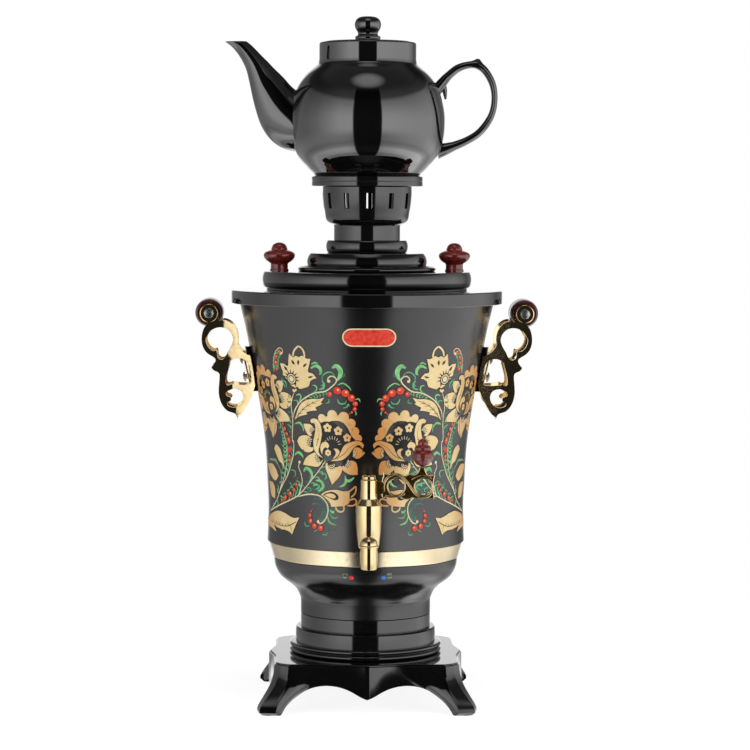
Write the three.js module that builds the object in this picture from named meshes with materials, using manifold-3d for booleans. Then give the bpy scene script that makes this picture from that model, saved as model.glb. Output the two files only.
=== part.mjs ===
// Electric samovar with a teapot on its crown.
// Millimetres, +Z up. The tap is at the front (-Y), the teapot's spout at -X.
import * as THREE from 'three';
import { mergeVertices } from 'three/addons/utils/BufferGeometryUtils.js';
import Module from 'manifold-3d';

const wasm = await Module();
wasm.setup();

// Facets round a circle
const largeSteps = 26;
const mediumSteps = 20;
const smallSteps = 12;
const tinySteps = 8;
const filletSteps = 2;
const archSteps = 6;
const weldTolerance = 0.0003;

// Clearances, and the length by which every cut runs past its work
const seatGap = 0.3;
const turnGap = 0.25;
const overrun = 2;

// Base casting: a plate with a prow on each side, an apron of arches and four flared legs
const baseHeight = 36;
const plateHalf = 66;
const prowReach = 73;
const cornerCut = 10;
const legFlare = 14;
const footSize = 14;
const footToe = 3;
const archTop = 20;
const prowLow = 11;
const castingWall = 3;
const plateHoleRadius = 40;
const padHeight = 1.5;
const padRadius = 5;
const flareShares = [1, 0.95, 0.5, 0.18, 0];
const flareHeightShares = [0.09, 0.2, 0.42, 0.7, 1];
const sideBowShare = 0.28;

// Bottom cover
const coverRadius = 47;
const coverThickness = 2;

// Base collar: two beads, a step ring and a top ring
const beadRadius = 57;
const beadHeight = 3.9;
const stepRingRadius = 52.5;
const stepRingHeight = 11;
const collarTopHeight = 10.2;
const grooveDepth = 1;
const grooveHeight = 0.7;
const collarWall = 3;

// Lower housing: neck and bowl
const neckRadius = 48.8;
const neckHeight = 10;
const bowlRadius = 68.6;
const bowlHeight = 32;
const bowlBendShare = 0.44;
const bowlBendRadiusShare = 0.46;
const housingWall = 2.2;
const spigotInset = 1;

// Rear box of the lower housing, with the inlet and the switch
const rearBoxWidth = 60;
const rearBoxHeight = 22;
const rearBoxReach = 58;
const rearBoxLift = 0.8;
const inletWidth = 30;
const inletHeight = 18;
const inletFlange = 1.5;
const inletDepth = 14;
const inletWall = 3.5;
const inletRecess = 11;
const inletOffset = -11;
const pinWidth = 2;
const pinHeight = 4;
const pinLength = 6;
const pinSpacing = 7;
const switchWidth = 14;
const switchHeight = 18;
const switchOffset = 16;
const switchDepth = 12;
const switchWall = 1.6;
const rockerTilt = 8;
const rockerThickness = 5;
const rockerPinRadius = 1;
const rockerEndGap = 0.5;
const rockerShoulderShare = 0.9;

// Gold band
const bandHeight = 12.5;
const bandProud = 0.6;
const bandTopRadius = 72.6;
const bandBevelShares = [0.06, 0.94];

// Tank
const tankHeight = 184.5;
const tankBottomRadius = 74;
const tankTopRadius = 96.6;
const tankWall = 1.5;
const tankHeightShares = [0, 0.16, 0.33, 0.55, 0.76, 0.9, 1];
const tankRadiusShares = [0, -0.035, 0.02, 0.25, 0.56, 0.8, 1];
const tankSkinSteps = 6;
const tankLiningSteps = 4;

// Heating element, thermostat and the lamps' board
const heaterRadius = 44;
const heaterTube = 3.6;
const heaterLift = 14;
const heaterLeg = 12;
const heaterGapAngle = 24;
const heaterSteps = 32;
const heaterSides = 6;
const heaterTurns = 16;
const legTopLift = 7.5;
const legHoleGap = 0.6;
const clampThickness = 3;
const clampWidth = 14;
const thermostatRadius = 9;
const thermostatHeight = 8;
const lampRadius = 1.75;
const lampSpread = 11.6;
const lampDrop = 7.6;
const lampLength = 11;
const lampProud = 0.9;
const boardWidth = 38;
const boardHeight = 12;
const boardThickness = 1.6;

// Rim ring
const rimRadius = 101.6;
const rimHeight = 10;
const rimWall = 2.7;
const rimFillet = 1.2;
const rimOpening = 74;
const rimSkirtHeight = 7;

// Lid cover and its gasket
const lidRadius = 78.4;
const lidFootRadius = 75.6;
const lidFootHeight = 2;
const lidHeight = 14;
const lidFillet = 3;
const lidUnderAngle = -60;
const lidWall = 2.5;
const lidSkirtDepth = 8;
const lidSkirtGap = 1;
const lidHoleRadius = 21;
const gasketHeight = 3.2;
const gasketDepth = 1.4;
const gasketLift = 2.5;

// Knobs of the lid
const knobOffset = 65.4;
const knobHeight = 21;
const knobRadius = 11.8;
const knobStemRadius = 6.7;
const knobStemShare = 0.27;
const knobStemWaistShare = 0.94;
const knobSteps = 7;
const knobShares = [[0.9, 0.42], [1, 0.53], [0.86, 0.64], [0.5, 0.74], [0.44, 0.84], [0.25, 0.96]];
const knobScrewRadius = 2;
const knobScrewHeadRadius = 2.9;
const knobScrewHeadHeight = 2;
const knobScrewLength = 12;

// Stack base on the lid: foot flange, lower flange and upper flange
const stackFootRadius = 51.8;
const stackFootHeight = 4;
const stackNeckRadius = 47;
const lowerFlangeRadius = 45;
const lowerFlangeTopRadius = 41.6;
const lowerFlangeHeight = 9.4;
const upperFlangeRadius = 31.6;
const upperFlangeHeight = 9.6;
const stackBore = 22;
const stackWall = 3;
const lowerFlangeAngle = 20;
const upperFlangeAngle = -45;

// Crown: neck and slotted cup
const crownNeckRadius = 24.8;
const crownNeckHeight = 12;
const crownCupRadius = 33.4;
const crownCupFootRadius = 31;
const crownCupHeight = 28;
const crownWall = 2.4;
const crownShoulder = 5;
const crownShoulderAngle = -75;
const slotCount = 12;
const slotWidth = 4.1;
const slotHeight = 11.5;
const slotDrop = 5;

// Pot plate
const potPlateRadius = 41.6;
const potPlateHeight = 7.5;
const potPlateLip = 3;
const potPlateHole = 20.5;
const potPlateWaist = 0.4;

// Teapot
const teapotRadius = 57.75;
const teapotHeight = 84.4;
const teapotFootRadius = 39;
const teapotFootHeight = 1.2;
const teapotWall = 3;
const collarRadius = 36.4;
const collarHeight = 15;
const collarFillet = 1.2;
const teapotLedge = 3.2;
const bodyHeightShares = [0.05, 0.12, 0.22, 0.37, 0.55, 0.7, 0.81, 0.89, 0.955, 1];
const bodyRadiusShares = [0.735, 0.82, 0.915, 0.98, 1, 0.965, 0.88, 0.78, 0.67, 0.63];
const teapotSkinSteps = 8;
const teapotLiningSteps = 5;
const spoutReach = 106.5;
const spoutRise = 99.4;
const spoutRootShare = 0.7;
const spoutHalfWidth = 13;
const spoutWall = 2.2;
const spoutSides = 10;
const spoutOuterShares = [
  [0.213, 0.166], [0.388, 0.218], [0.534, 0.299], [0.626, 0.418], [0.682, 0.545],
  [0.716, 0.657], [0.75, 0.754], [0.807, 0.843], [0.898, 0.925], [1, 1],
];
const spoutInnerShares = [
  [-0.067, 0.342], [0.035, 0.418], [0.104, 0.522], [0.183, 0.604], [0.273, 0.679], [0.376, 0.754],
  [0.489, 0.828], [0.591, 0.896], [0.694, 0.963], [0.773, 1],
];
const spoutWidthShares = [1.02, 1, 0.94, 0.84, 0.74, 0.66, 0.6, 0.56, 0.52, 0.5];
const potHandleReach = 93.75;
const potHandleRise = 84.4;
const potHandleHalfWidth = 5.5;
const potHandleHalfThickness = 2.6;
const potHandleSteps = 16;
const potHandleSides = 8;
const potHandleSwellShare = 0.5;
const potHandleSwellPower = 4;
const potHandleShares = [
  [0.56, 0.74], [0.592, 0.8], [0.664, 0.915], [0.728, 0.964], [0.808, 1], [0.888, 0.99],
  [0.948, 0.933], [0.984, 0.853], [1, 0.746], [0.992, 0.622], [0.968, 0.515], [0.92, 0.435],
  [0.848, 0.368], [0.752, 0.302], [0.664, 0.24], [0.56, 0.15],
];

// Teapot lid
const potLidThickness = 3.2;
const potLidDome = 2;
const potLidSkirt = 8;
const potLidSkirtWall = 2.2;
const potKnobRadius = 9.8;
const potKnobHeight = 17.6;
const potKnobSteps = 7;
const potKnobShares = [[0.97, 0], [0.84, 0.2], [0.93, 0.38], [1, 0.6], [0.88, 0.85], [0.5, 0.97], [0, 1]];

// Tap
const tapReach = 98;
const tapLift = 21.5;
const barrelRadius = 9.3;
const barrelTopRadius = 6.2;
const barrelFootRadius = 7.6;
const barrelHeight = 29;
const shoulderHeight = 4.6;
const barrelDrop = 14;
const barrelDome = 3.4;
const barrelDomeAngle = -60;
const barrelSteps = 4;
const barrelShares = [[1.06, 0.1], [1.19, 0.45]];
const nozzleRadius = 6.2;
const nozzleTipRadius = 5.8;
const nozzleBore = 4.4;
const nozzleForward = 8;
const nozzleDrop = 30;
const nozzleDomeDrop = 12;
const nozzleDomeAngle = 20;
const shankRadius = 5;
const shankCollarRadius = 8;
const shankCollarLength = 8;
const shankBore = 3;
const shankInside = 12;
const tapGasketRadius = 9;
const tapGasketThickness = 2.4;
const tapNutRadius = 9;
const tapNutThickness = 5;
const nutSides = 6;
const plugBore = 4.2;
const plugDepth = 25;
const plugGap = 0.3;
const keyRadius = 6;
const keyHeight = 14.2;
const capRadius = 4.7;
const capHeight = 3.4;
const keyPlateThickness = 3;
const keyPlateLength = 38;
const keyPlateHeight = 19.6;
const keyPlateGap = 8.8;
const keyTabHeight = 7;
const keyHoleRadius = 6.2;
const keyHoleShares = [0.28, 0.78];
const keyTabShare = 0.06;
const keyPeakShare = 1.14;
const keyRidgeWidth = 1.1;
const keyPlateShares = [
  [0, 1.02], [0.1, 0.97], [0.28, 1], [0.42, 0.9], [0.5, 0.93], [0.6, 0.98], [0.68, 1],
  [0.735, keyPeakShare], [0.825, keyPeakShare], [0.88, 1], [1.02, 1], [0.965, 0.86], [0.975, 0.14], [1.03, 0],
  [0.9, 0.03], [0.6, 0], [0.5, 0.05], [0.34, 0.02], [0.1, 0.04], [0, -0.04],
  [0.05, 0.2], [0.04, 0.5], [0.05, 0.8],
];
const finialHeight = 20;
const finialRadius = 8;
const finialFootRadius = 2;
const finialSteps = 8;
const finialShares = [
  [0.5, 0.12], [0.92, 0.34], [1, 0.46], [0.86, 0.58], [0.66, 0.64], [0.6, 0.74], [0.42, 0.86], [0.2, 0.95],
];

// Side handles
const gripOffset = 117.2;
const gripDrop = 17.3;
const gripRadius = 10.7;
const gripHalfLength = 16;
const gripEndShare = 0.8;
const gripSteps = 4;
const gripShares = [[0.86, -0.9], [1, -0.45], [0.94, 0], [1, 0.45], [0.86, 0.9]];
const cheekThickness = 3.2;
const bossRadius = 7;
const boltRadius = 2.2;
const boltHeadRadius = 3.7;
const boltHeadHeight = 1.4;
const bracketReach = 30;
const bracketHeight = 78.5;
const ringHoleRadius = 9.6;
const lowerHoleRadius = 6.2;
const webThickness = 3;
const padThickness = 4;
const padTopDrop = 24.8;
const padLength = 33.5;
const handleScrewRadius = 1.9;
const handleScrewHeadRadius = 3.6;
const handleScrewHeadHeight = 1.8;
const handleScrewLength = 9;
const handleScrewShares = [0.28, 0.68];
const cheekShares = [
  [0, 0.04], [-0.04, 0.1], [-0.1, 0.14], [-0.18, 0.25], [-0.13, 0.36], [0, 0.42], [0.15, 0.45],
  [0.06, 0.515], [0.2, 0.56], [0.25, 0.61], [0.25, 0.83], [0.38, 0.91], [0.6, 0.945], [0.72, 1],
  [0.8, 0.96], [0.96, 0.78], [1.03, 0.735], [0.94, 0.4], [0.85, 0.38], [0.73, 0.32],
  [0.73, 0.2], [0.62, 0.1], [0.33, 0.06],
];
const middleHoleShares = [
  [0.53, 0.46], [0.68, 0.42], [0.82, 0.42], [0.93, 0.66], [0.84, 0.69], [0.42, 0.69], [0.47, 0.55],
];
const ringHoleShares = [0.25, 0.257];
const lowerHoleShares = [0.63, 0.8];

// Heights and radii that follow from the sizes above
const plateUnder = baseHeight - castingWall;
const collarTop = baseHeight + 2 * beadHeight + stepRingHeight + collarTopHeight;
const bowlTop = collarTop + neckHeight + bowlHeight;
const bandBottomRadius = bowlRadius + bandProud;
const tankFoot = bowlTop + bandHeight;
const tankTop = tankFoot + tankHeight;
const rimTop = tankTop + seatGap + rimWall;
const tapHeight = tankFoot + tapLift;
const gripHeight = rimTop - gripDrop;
const lidTop = rimTop + lidHeight;
const stackTop = lidTop + stackFootHeight + lowerFlangeHeight + upperFlangeHeight;
const crownCupFoot = stackTop + crownNeckHeight;
const crownTop = crownCupFoot + crownCupHeight;
const potFoot = crownTop + potPlateHeight;
const potCollarFoot = potFoot + teapotHeight;
const potTop = potCollarFoot + collarHeight;
const frontReach = tapReach + nozzleForward + nozzleRadius;

// Finishes
const finish = (color, roughness, metalness) =>
  new THREE.MeshStandardMaterial({ color, roughness, metalness });
const blackPlastic = finish(0x17171a, 0.25, 0);
const blackPaint = finish(0x242426, 0.45, 0.2);
const blackGlaze = finish(0x0b0b0c, 0.06, 0);
const gold = finish(0xd9b45c, 0.15, 1);
const redWood = finish(0x5a1714, 0.3, 0);
const steel = finish(0xb9bcc0, 0.3, 1);
const rubber = finish(0x1b1b1b, 0.8, 0);
const redLens = finish(0xd01522, 0.2, 0);
const blueLens = finish(0x1f6fd0, 0.2, 0);
const boardGreen = finish(0x1d5a36, 0.6, 0);

// Geometry helpers

// Revolves a closed outline of [radius, height] pairs about Z; it rises on its outer side.
function revolve(outline, steps = largeSteps) {
  const points = outline.map(([r, z]) => new THREE.Vector2(r, z));
  const onAxis = ([r]) => r === 0;
  if (!(onAxis(outline[0]) && onAxis(outline[outline.length - 1]))) {
    points.push(points[0].clone());
  }
  return new THREE.LatheGeometry(points, steps).rotateX(Math.PI / 2);
}

// Points of a quarter round from one angle to another, in degrees, about a centre.
function arc(radius, height, size, from, to, steps = filletSteps) {
  return Array.from({ length: steps + 1 }, (_, i) => {
    const angle = THREE.MathUtils.degToRad(from + ((to - from) * i) / steps);
    return [radius + size * Math.cos(angle), height + size * Math.sin(angle)];
  });
}

// Points along a smooth curve through [radius, height] pairs.
function smooth(pairs, steps) {
  const curve = new THREE.SplineCurve(pairs.map(([r, z]) => new THREE.Vector2(r, z)));
  return curve.getPoints(steps).map((p) => [p.x, p.y]);
}

function toSolid(geometry) {
  const bare = geometry.clone();
  bare.deleteAttribute('normal');
  bare.deleteAttribute('uv');
  const merged = mergeVertices(bare, weldTolerance);
  const index = merged.index.array;
  const kept = [];
  for (let i = 0; i < index.length; i += 3) {
    const [a, b, c] = [index[i], index[i + 1], index[i + 2]];
    if (a !== b && b !== c && c !== a) kept.push(a, b, c);
  }
  const mesh = new wasm.Mesh({
    numProp: 3,
    vertProperties: new Float32Array(merged.attributes.position.array),
    triVerts: new Uint32Array(kept),
  });
  return new wasm.Manifold(mesh);
}

function toGeometry(solid) {
  const mesh = solid.getMesh();
  const geometry = new THREE.BufferGeometry();
  geometry.setAttribute('position', new THREE.BufferAttribute(mesh.vertProperties, 3));
  geometry.setIndex(new THREE.BufferAttribute(mesh.triVerts, 1));
  geometry.computeVertexNormals();
  return geometry;
}

const joined = (...geometries) =>
  toGeometry(geometries.map(toSolid).reduce((whole, piece) => whole.add(piece)));

const cut = (geometry, ...tools) =>
  toGeometry(tools.map(toSolid).reduce((whole, tool) => whole.subtract(tool), toSolid(geometry)));

// A closed skin over rings of points, each ring as long as the next, with flat ends.
function loft(rings) {
  const count = rings[0].length;
  const points = rings.flat();
  const faces = [];
  for (let r = 0; r < rings.length - 1; r += 1) {
    for (let i = 0; i < count; i += 1) {
      const a = r * count + i;
      const b = r * count + ((i + 1) % count);
      faces.push(a, b, b + count, a, b + count, a + count);
    }
  }
  const first = rings[0];
  const last = rings[rings.length - 1];
  const middle = (ring) => ring.reduce((sum, p) => sum.add(p), new THREE.Vector3()).divideScalar(count);
  points.push(middle(first), middle(last));
  const top = (rings.length - 1) * count;
  for (let i = 0; i < count; i += 1) {
    const next = (i + 1) % count;
    faces.push(next, i, points.length - 2);
    faces.push(top + i, top + next, points.length - 1);
  }
  const geometry = new THREE.BufferGeometry().setFromPoints(points);
  geometry.setIndex(signedVolume(points, faces) > 0 ? faces : faces.reverse());
  geometry.computeVertexNormals();
  return geometry;
}

function signedVolume(points, faces) {
  let sum = 0;
  for (let i = 0; i < faces.length; i += 3) {
    const [a, b, c] = [points[faces[i]], points[faces[i + 1]], points[faces[i + 2]]];
    sum += a.dot(new THREE.Vector3().crossVectors(b, c));
  }
  return sum;
}

// A cylinder along Z from one height to another.
function rod(radius, low, high, steps = smallSteps) {
  return revolve([[0, low], [radius, low], [radius, high], [0, high]], steps);
}

// A cylinder along Y.
function crossRod(radius, near, far, height, steps = smallSteps) {
  return rod(radius, -far, -near, steps).rotateX(Math.PI / 2).translate(0, 0, height);
}

// A box between two corners.
function block(low, high) {
  const size = high.map((value, i) => value - low[i]);
  const centre = high.map((value, i) => (value + low[i]) / 2);
  return new THREE.BoxGeometry(...size).translate(...centre);
}

// A flat plate with holes, drawn in X and Z and as thick as given along Y, about Y = 0.
function flatPlate(outline, holes, thickness, curveSteps = 1) {
  const shape = new THREE.Shape(outline);
  shape.holes = holes.map((hole) => new THREE.Path(hole));
  const options = { depth: thickness, bevelEnabled: false, curveSegments: curveSteps };
  return new THREE.ExtrudeGeometry(shape, options)
    .rotateX(Math.PI / 2)
    .translate(0, thickness / 2, 0);
}

const circlePoints = (x, z, radius, steps) => Array.from({ length: steps }, (_, i) => {
  const angle = (2 * Math.PI * i) / steps;
  return new THREE.Vector2(x + radius * Math.cos(angle), z + radius * Math.sin(angle));
});

const model = new THREE.Group();

function addPiece(name, geometry, material, parent = model) {
  const mesh = new THREE.Mesh(geometry, material);
  mesh.name = name;
  parent.add(mesh);
  return mesh;
}

// Base

// The base's plan: prows in the middle of the sides and cut corners, pushed out by the flare.
function planRing(height, flare, inset) {
  const prow = prowReach - inset;
  const half = plateHalf - inset + flare;
  const shoulder = half - cornerCut - flare * (1 - sideBowShare);
  const bow = (half + (prow - half) * sideBowShare * (1 - flare / legFlare));
  const quarter = [
    [prow, 0],
    [bow, shoulder / 2],
    [half, shoulder],
    [half, half - cornerCut / 3],
    [half - cornerCut / 3, half],
    [shoulder, half],
    [shoulder / 2, bow],
  ];
  const ring = [];
  for (let turn = 0; turn < 4; turn += 1) {
    const angle = (turn * Math.PI) / 2;
    for (const [x, y] of quarter) {
      ring.push(new THREE.Vector3(
        x * Math.cos(angle) - y * Math.sin(angle),
        x * Math.sin(angle) + y * Math.cos(angle),
        height,
      ));
    }
  }
  return ring;
}

// Two arches under one side of the base, run right through along Y.
function archCutter() {
  const innerFoot = plateHalf + legFlare - footSize;
  const half = new THREE.Path();
  half.moveTo(0, prowLow);
  half.quadraticCurveTo(innerFoot / 4, archTop, innerFoot / 2, archTop);
  half.quadraticCurveTo((innerFoot * 3) / 4, archTop, innerFoot, padHeight - overrun);
  const side = half.getPoints(archSteps);
  const outline = [...side, ...side.slice(1).reverse().map((p) => new THREE.Vector2(-p.x, p.y))];
  return flatPlate(outline, [], 2 * (prowReach + legFlare));
}

function baseCasting() {
  const foot = planRing(padHeight, legFlare - footToe / 2, 0);
  const walls = flareShares.map((share, i) =>
    planRing(padHeight + (baseHeight - padHeight) * flareHeightShares[i], legFlare * share, 0));
  const edge = planRing(baseHeight - footToe / 3, 0, 0);
  const top = planRing(baseHeight, 0, footToe / 3);
  const outside = loft([foot, ...walls.slice(0, -1), edge, top]);
  const hollow = loft([planRing(-overrun, 0, castingWall), planRing(plateUnder, 0, castingWall)]);
  const arches = archCutter();
  return cut(outside, hollow, arches, arches.clone().rotateZ(Math.PI / 2),
    rod(plateHoleRadius, 0, baseHeight + overrun, largeSteps));
}

function baseCollar() {
  const inner = neckRadius - collarWall;
  const beads = [0, 1].flatMap((i) =>
    arc(beadRadius - beadHeight / 2, baseHeight + beadHeight * (i + 0.5), beadHeight / 2, -90, 90));
  const stepFoot = baseHeight + 2 * beadHeight;
  const stepTop = stepFoot + stepRingHeight;
  return revolve([
    [inner, baseHeight],
    ...beads,
    [stepRingRadius, stepFoot],
    [stepRingRadius, stepTop - grooveDepth],
    [stepRingRadius - grooveDepth, stepTop],
    [neckRadius - grooveDepth, stepTop],
    [neckRadius - grooveDepth, stepTop + grooveHeight],
    [neckRadius, stepTop + grooveHeight],
    [neckRadius, collarTop],
    [inner, collarTop],
  ]);
}

function bottomCover() {
  return rod(coverRadius, plateUnder - coverThickness, plateUnder, largeSteps);
}

// Lower housing

const rearBoxLow = collarTop + rearBoxLift;
const rearBoxMiddle = rearBoxLow + rearBoxHeight / 2;
const rockerPivotY = rearBoxReach + switchWall - rockerThickness;

function housingOutline(inset, steps = 3) {
  const bend = [
    neckRadius + (bowlRadius - neckRadius) * bowlBendRadiusShare,
    collarTop + neckHeight + bowlHeight * bowlBendShare,
  ];
  const curve = new THREE.Path();
  curve.moveTo(neckRadius, collarTop + neckHeight);
  curve.quadraticCurveTo(neckRadius, bend[1] - (bend[0] - neckRadius) / 3, ...bend);
  curve.quadraticCurveTo(bowlRadius - housingWall / 2, bend[1] + housingWall * 2, bowlRadius, bowlTop);
  return curve.getPoints(steps).map((p) => [p.x - inset, p.y]);
}

function lowerHousing() {
  const spigot = bandBottomRadius - housingWall - spigotInset;
  const skin = housingOutline(0);
  const lining = housingOutline(housingWall, 2).reverse();
  const shell = revolve([
    [neckRadius, collarTop],
    ...skin,
    [spigot, bowlTop],
    [spigot, tankFoot],
    [spigot - housingWall, tankFoot],
    ...lining,
    [neckRadius - housingWall, collarTop],
  ]);
  const half = rearBoxWidth / 2;
  const boxFoot = neckRadius / 2;
  const rearBox = block(
    [-half, boxFoot, rearBoxLow],
    [half, rearBoxReach, rearBoxLow + rearBoxHeight],
  );
  const boxHollow = block(
    [-half + housingWall, 0, rearBoxLow + housingWall],
    [half - housingWall, rearBoxReach - housingWall, rearBoxLow + rearBoxHeight - housingWall],
  );
  const core = revolve([
    [0, collarTop - overrun],
    [neckRadius - housingWall, collarTop - overrun],
    ...housingOutline(housingWall, 2),
    [0, bowlTop],
  ]);
  const window = (offset, width, height) => block(
    [offset - width / 2, rearBoxReach - housingWall - overrun, rearBoxMiddle - height / 2],
    [offset + width / 2, rearBoxReach + overrun, rearBoxMiddle + height / 2],
  );
  const lampHole = (x) =>
    crossRod(lampRadius + seatGap, -bowlRadius - overrun, -neckRadius, bowlTop - lampDrop, tinySteps)
      .translate(x, 0, 0);
  const outer = toGeometry(toSolid(shell).add(toSolid(rearBox).subtract(toSolid(core))));
  return cut(
    outer,
    boxHollow,
    window(inletOffset, inletWidth - inletWall + seatGap, inletHeight - inletWall + seatGap),
    window(switchOffset, switchWidth - switchWall, switchHeight - switchWall),
    lampHole(-lampSpread),
    lampHole(lampSpread),
  );
}

function powerInlet() {
  const face = rearBoxReach + seatGap / 3;
  const outerX = (inletWidth - inletWall) / 2;
  const outerZ = (inletHeight - inletWall) / 2;
  const flange = block([-inletWidth / 2, face, -inletHeight / 2],
    [inletWidth / 2, face + inletFlange, inletHeight / 2]);
  const body = block([-outerX, rearBoxReach - inletDepth, -outerZ], [outerX, face + inletFlange / 2, outerZ]);
  const floor = face + inletFlange - inletRecess;
  const recess = block(
    [-outerX + inletWall / 2, floor, -outerZ + inletWall / 2],
    [outerX - inletWall / 2, face + inletFlange + overrun, outerZ - inletWall / 2],
  );
  const pins = [[-pinSpacing, 0], [0, pinHeight / 2], [pinSpacing, 0]].map(([x, z]) => block(
    [x - pinWidth / 2, floor - overrun, z - pinHeight / 2],
    [x + pinWidth / 2, floor + pinLength, z + pinHeight / 2],
  ));
  return joined(cut(joined(flange, body), recess), ...pins)
    .translate(inletOffset, 0, rearBoxMiddle);
}

function switchFrame() {
  const face = rearBoxReach + seatGap / 3;
  const insideX = switchWidth / 2 - switchWall * 1.5;
  const insideZ = switchHeight / 2 - switchWall;
  const flange = block([-switchWidth / 2, face, -switchHeight / 2],
    [switchWidth / 2, face + switchWall, switchHeight / 2]);
  const bodyX = (switchWidth - switchWall) / 2 - seatGap;
  const bodyZ = (switchHeight - switchWall) / 2 - seatGap;
  const body = block([-bodyX, rearBoxReach - switchDepth, -bodyZ], [bodyX, face + switchWall / 2, bodyZ]);
  const well = block(
    [-insideX, rearBoxReach - switchDepth + switchWall, -insideZ],
    [insideX, face + switchWall + overrun, insideZ],
  );
  const pinHoles = rod(rockerPinRadius + turnGap, -switchWidth, switchWidth, tinySteps)
    .rotateY(Math.PI / 2).translate(0, rockerPivotY, 0);
  return cut(joined(flange, body), well, pinHoles).translate(switchOffset, 0, rearBoxMiddle);
}

// The rocker: two faces that meet over its pivot, at rest with its lower end pressed in.
function switchRocker() {
  const halfLength = switchHeight / 2 - switchWall - 2 * turnGap - rockerEndGap;
  const halfWidth = switchWidth / 2 - switchWall * 1.5 - turnGap;
  const dip = halfLength * Math.tan(THREE.MathUtils.degToRad(rockerTilt));
  const shape = new THREE.Shape([
    new THREE.Vector2(-halfLength, rockerThickness),
    new THREE.Vector2(-halfLength * rockerShoulderShare, rockerThickness / 3),
    new THREE.Vector2(0, -rockerThickness / 3),
    new THREE.Vector2(halfLength * rockerShoulderShare, rockerThickness / 3),
    new THREE.Vector2(halfLength, rockerThickness),
    new THREE.Vector2(0, rockerThickness - dip),
  ]);
  const blade = new THREE.ExtrudeGeometry(shape, { depth: 2 * halfWidth, bevelEnabled: false })
    .translate(0, 0, -halfWidth).rotateY(-Math.PI / 2);
  const pinEnd = halfWidth + 2 * turnGap + rockerPinRadius / 2;
  const pin = rod(rockerPinRadius, -pinEnd, pinEnd, tinySteps).rotateY(Math.PI / 2);
  return joined(blade, pin)
    .rotateX(-THREE.MathUtils.degToRad(rockerTilt))
    .translate(switchOffset, rockerPivotY, rearBoxMiddle);
}

function goldBand() {
  const inner = bandBottomRadius - housingWall - spigotInset + seatGap;
  const radiusAt = (share) => bandBottomRadius + (bandTopRadius - bandBottomRadius) * share;
  return revolve([
    [inner, bowlTop + seatGap],
    [radiusAt(0) - seatGap, bowlTop + seatGap],
    ...bandBevelShares.map((share) => [radiusAt(share), bowlTop + bandHeight * share + seatGap / 2]),
    [radiusAt(1) - seatGap, tankFoot - seatGap / 3],
    [inner, tankFoot - seatGap / 3],
  ]);
}

// Tank

const tankPairs = (inset) => tankHeightShares.map((share, i) => [
  tankBottomRadius + (tankTopRadius - tankBottomRadius) * tankRadiusShares[i] - inset,
  tankFoot + tankHeight * share,
]);

function tankRadiusAt(height) {
  const curve = new THREE.SplineCurve(tankPairs(0).map(([r, z]) => new THREE.Vector2(r, z)));
  const points = curve.getPoints(largeSteps * 4);
  return points.reduce((best, p) => (Math.abs(p.y - height) < Math.abs(best.y - height) ? p : best)).x;
}

// The tank's outer surface as a full solid, grown by a clearance, to cut what sits against it.
function tankCutter(clearance) {
  const pairs = smooth(tankPairs(-clearance), tankSkinSteps);
  return revolve([
    [0, tankFoot - overrun],
    [pairs[0][0], tankFoot - overrun],
    ...pairs,
    [0, tankTop],
  ], largeSteps);
}

const heaterLegAngle = THREE.MathUtils.degToRad(heaterGapAngle / 2);
const heaterLegPlaces = [-1, 1].map((side) => [
  side * heaterRadius * Math.sin(heaterLegAngle),
  heaterRadius * Math.cos(heaterLegAngle),
]);

function tankShell() {
  const lining = smooth(tankPairs(tankWall), tankLiningSteps).reverse().slice(0, -1);
  const shell = revolve([
    [0, tankFoot],
    ...smooth(tankPairs(0), tankSkinSteps),
    ...lining,
    [tankBottomRadius - tankWall, tankFoot + tankWall],
    [0, tankFoot + tankWall],
  ]);
  const legHoles = heaterLegPlaces.map(([x, y]) =>
    rod(heaterTube + legHoleGap, tankFoot - overrun, tankFoot + tankWall + overrun, tinySteps)
      .translate(x, y, 0));
  const shankHole = crossRod(shankRadius + seatGap, -tankBottomRadius - overrun, 0, tapHeight);
  const handleHoles = [0, Math.PI].flatMap((turn) =>
    screwPlaces().map((place) => screwHole(place).rotateZ(turn)));
  return cut(shell, shankHole, ...legHoles, ...handleHoles);
}

function heatingElement() {
  const low = tankFoot - heaterLeg;
  const high = tankFoot + heaterLift;
  const places = [];
  const [rightX, rightY] = heaterLegPlaces[1];
  const arcAt = (share) => {
    const angle = heaterLegAngle * 2 + (2 * Math.PI - heaterLegAngle * 4) * share;
    return new THREE.Vector3(heaterRadius * Math.sin(angle), heaterRadius * Math.cos(angle), high);
  };
  const legHeights = [low, tankFoot - clampThickness, tankFoot + legTopLift / 2, tankFoot + legTopLift];
  legHeights.forEach((z) => places.push(new THREE.Vector3(rightX, rightY, z)));
  for (let i = 0; i <= heaterTurns; i += 1) places.push(arcAt(i / heaterTurns));
  const [leftX, leftY] = heaterLegPlaces[0];
  legHeights.reverse().forEach((z) => places.push(new THREE.Vector3(leftX, leftY, z)));
  const section = new THREE.Shape(circlePoints(0, 0, heaterTube, heaterSides));
  const path = new THREE.CatmullRomCurve3(places, false, 'centripetal');
  return new THREE.ExtrudeGeometry(section, { steps: heaterSteps, extrudePath: path });
}

function heaterClamp() {
  const [x, y] = heaterLegPlaces[1];
  const plate = block([-x - clampWidth / 2, y - clampWidth / 2, tankFoot - clampThickness],
    [x + clampWidth / 2, y + clampWidth / 2, tankFoot]);
  const holes = heaterLegPlaces.map(([px, py]) =>
    rod(heaterTube + legHoleGap, tankFoot - clampThickness - overrun, tankFoot + overrun, tinySteps)
      .translate(px, py, 0));
  return cut(plate, ...holes);
}

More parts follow.
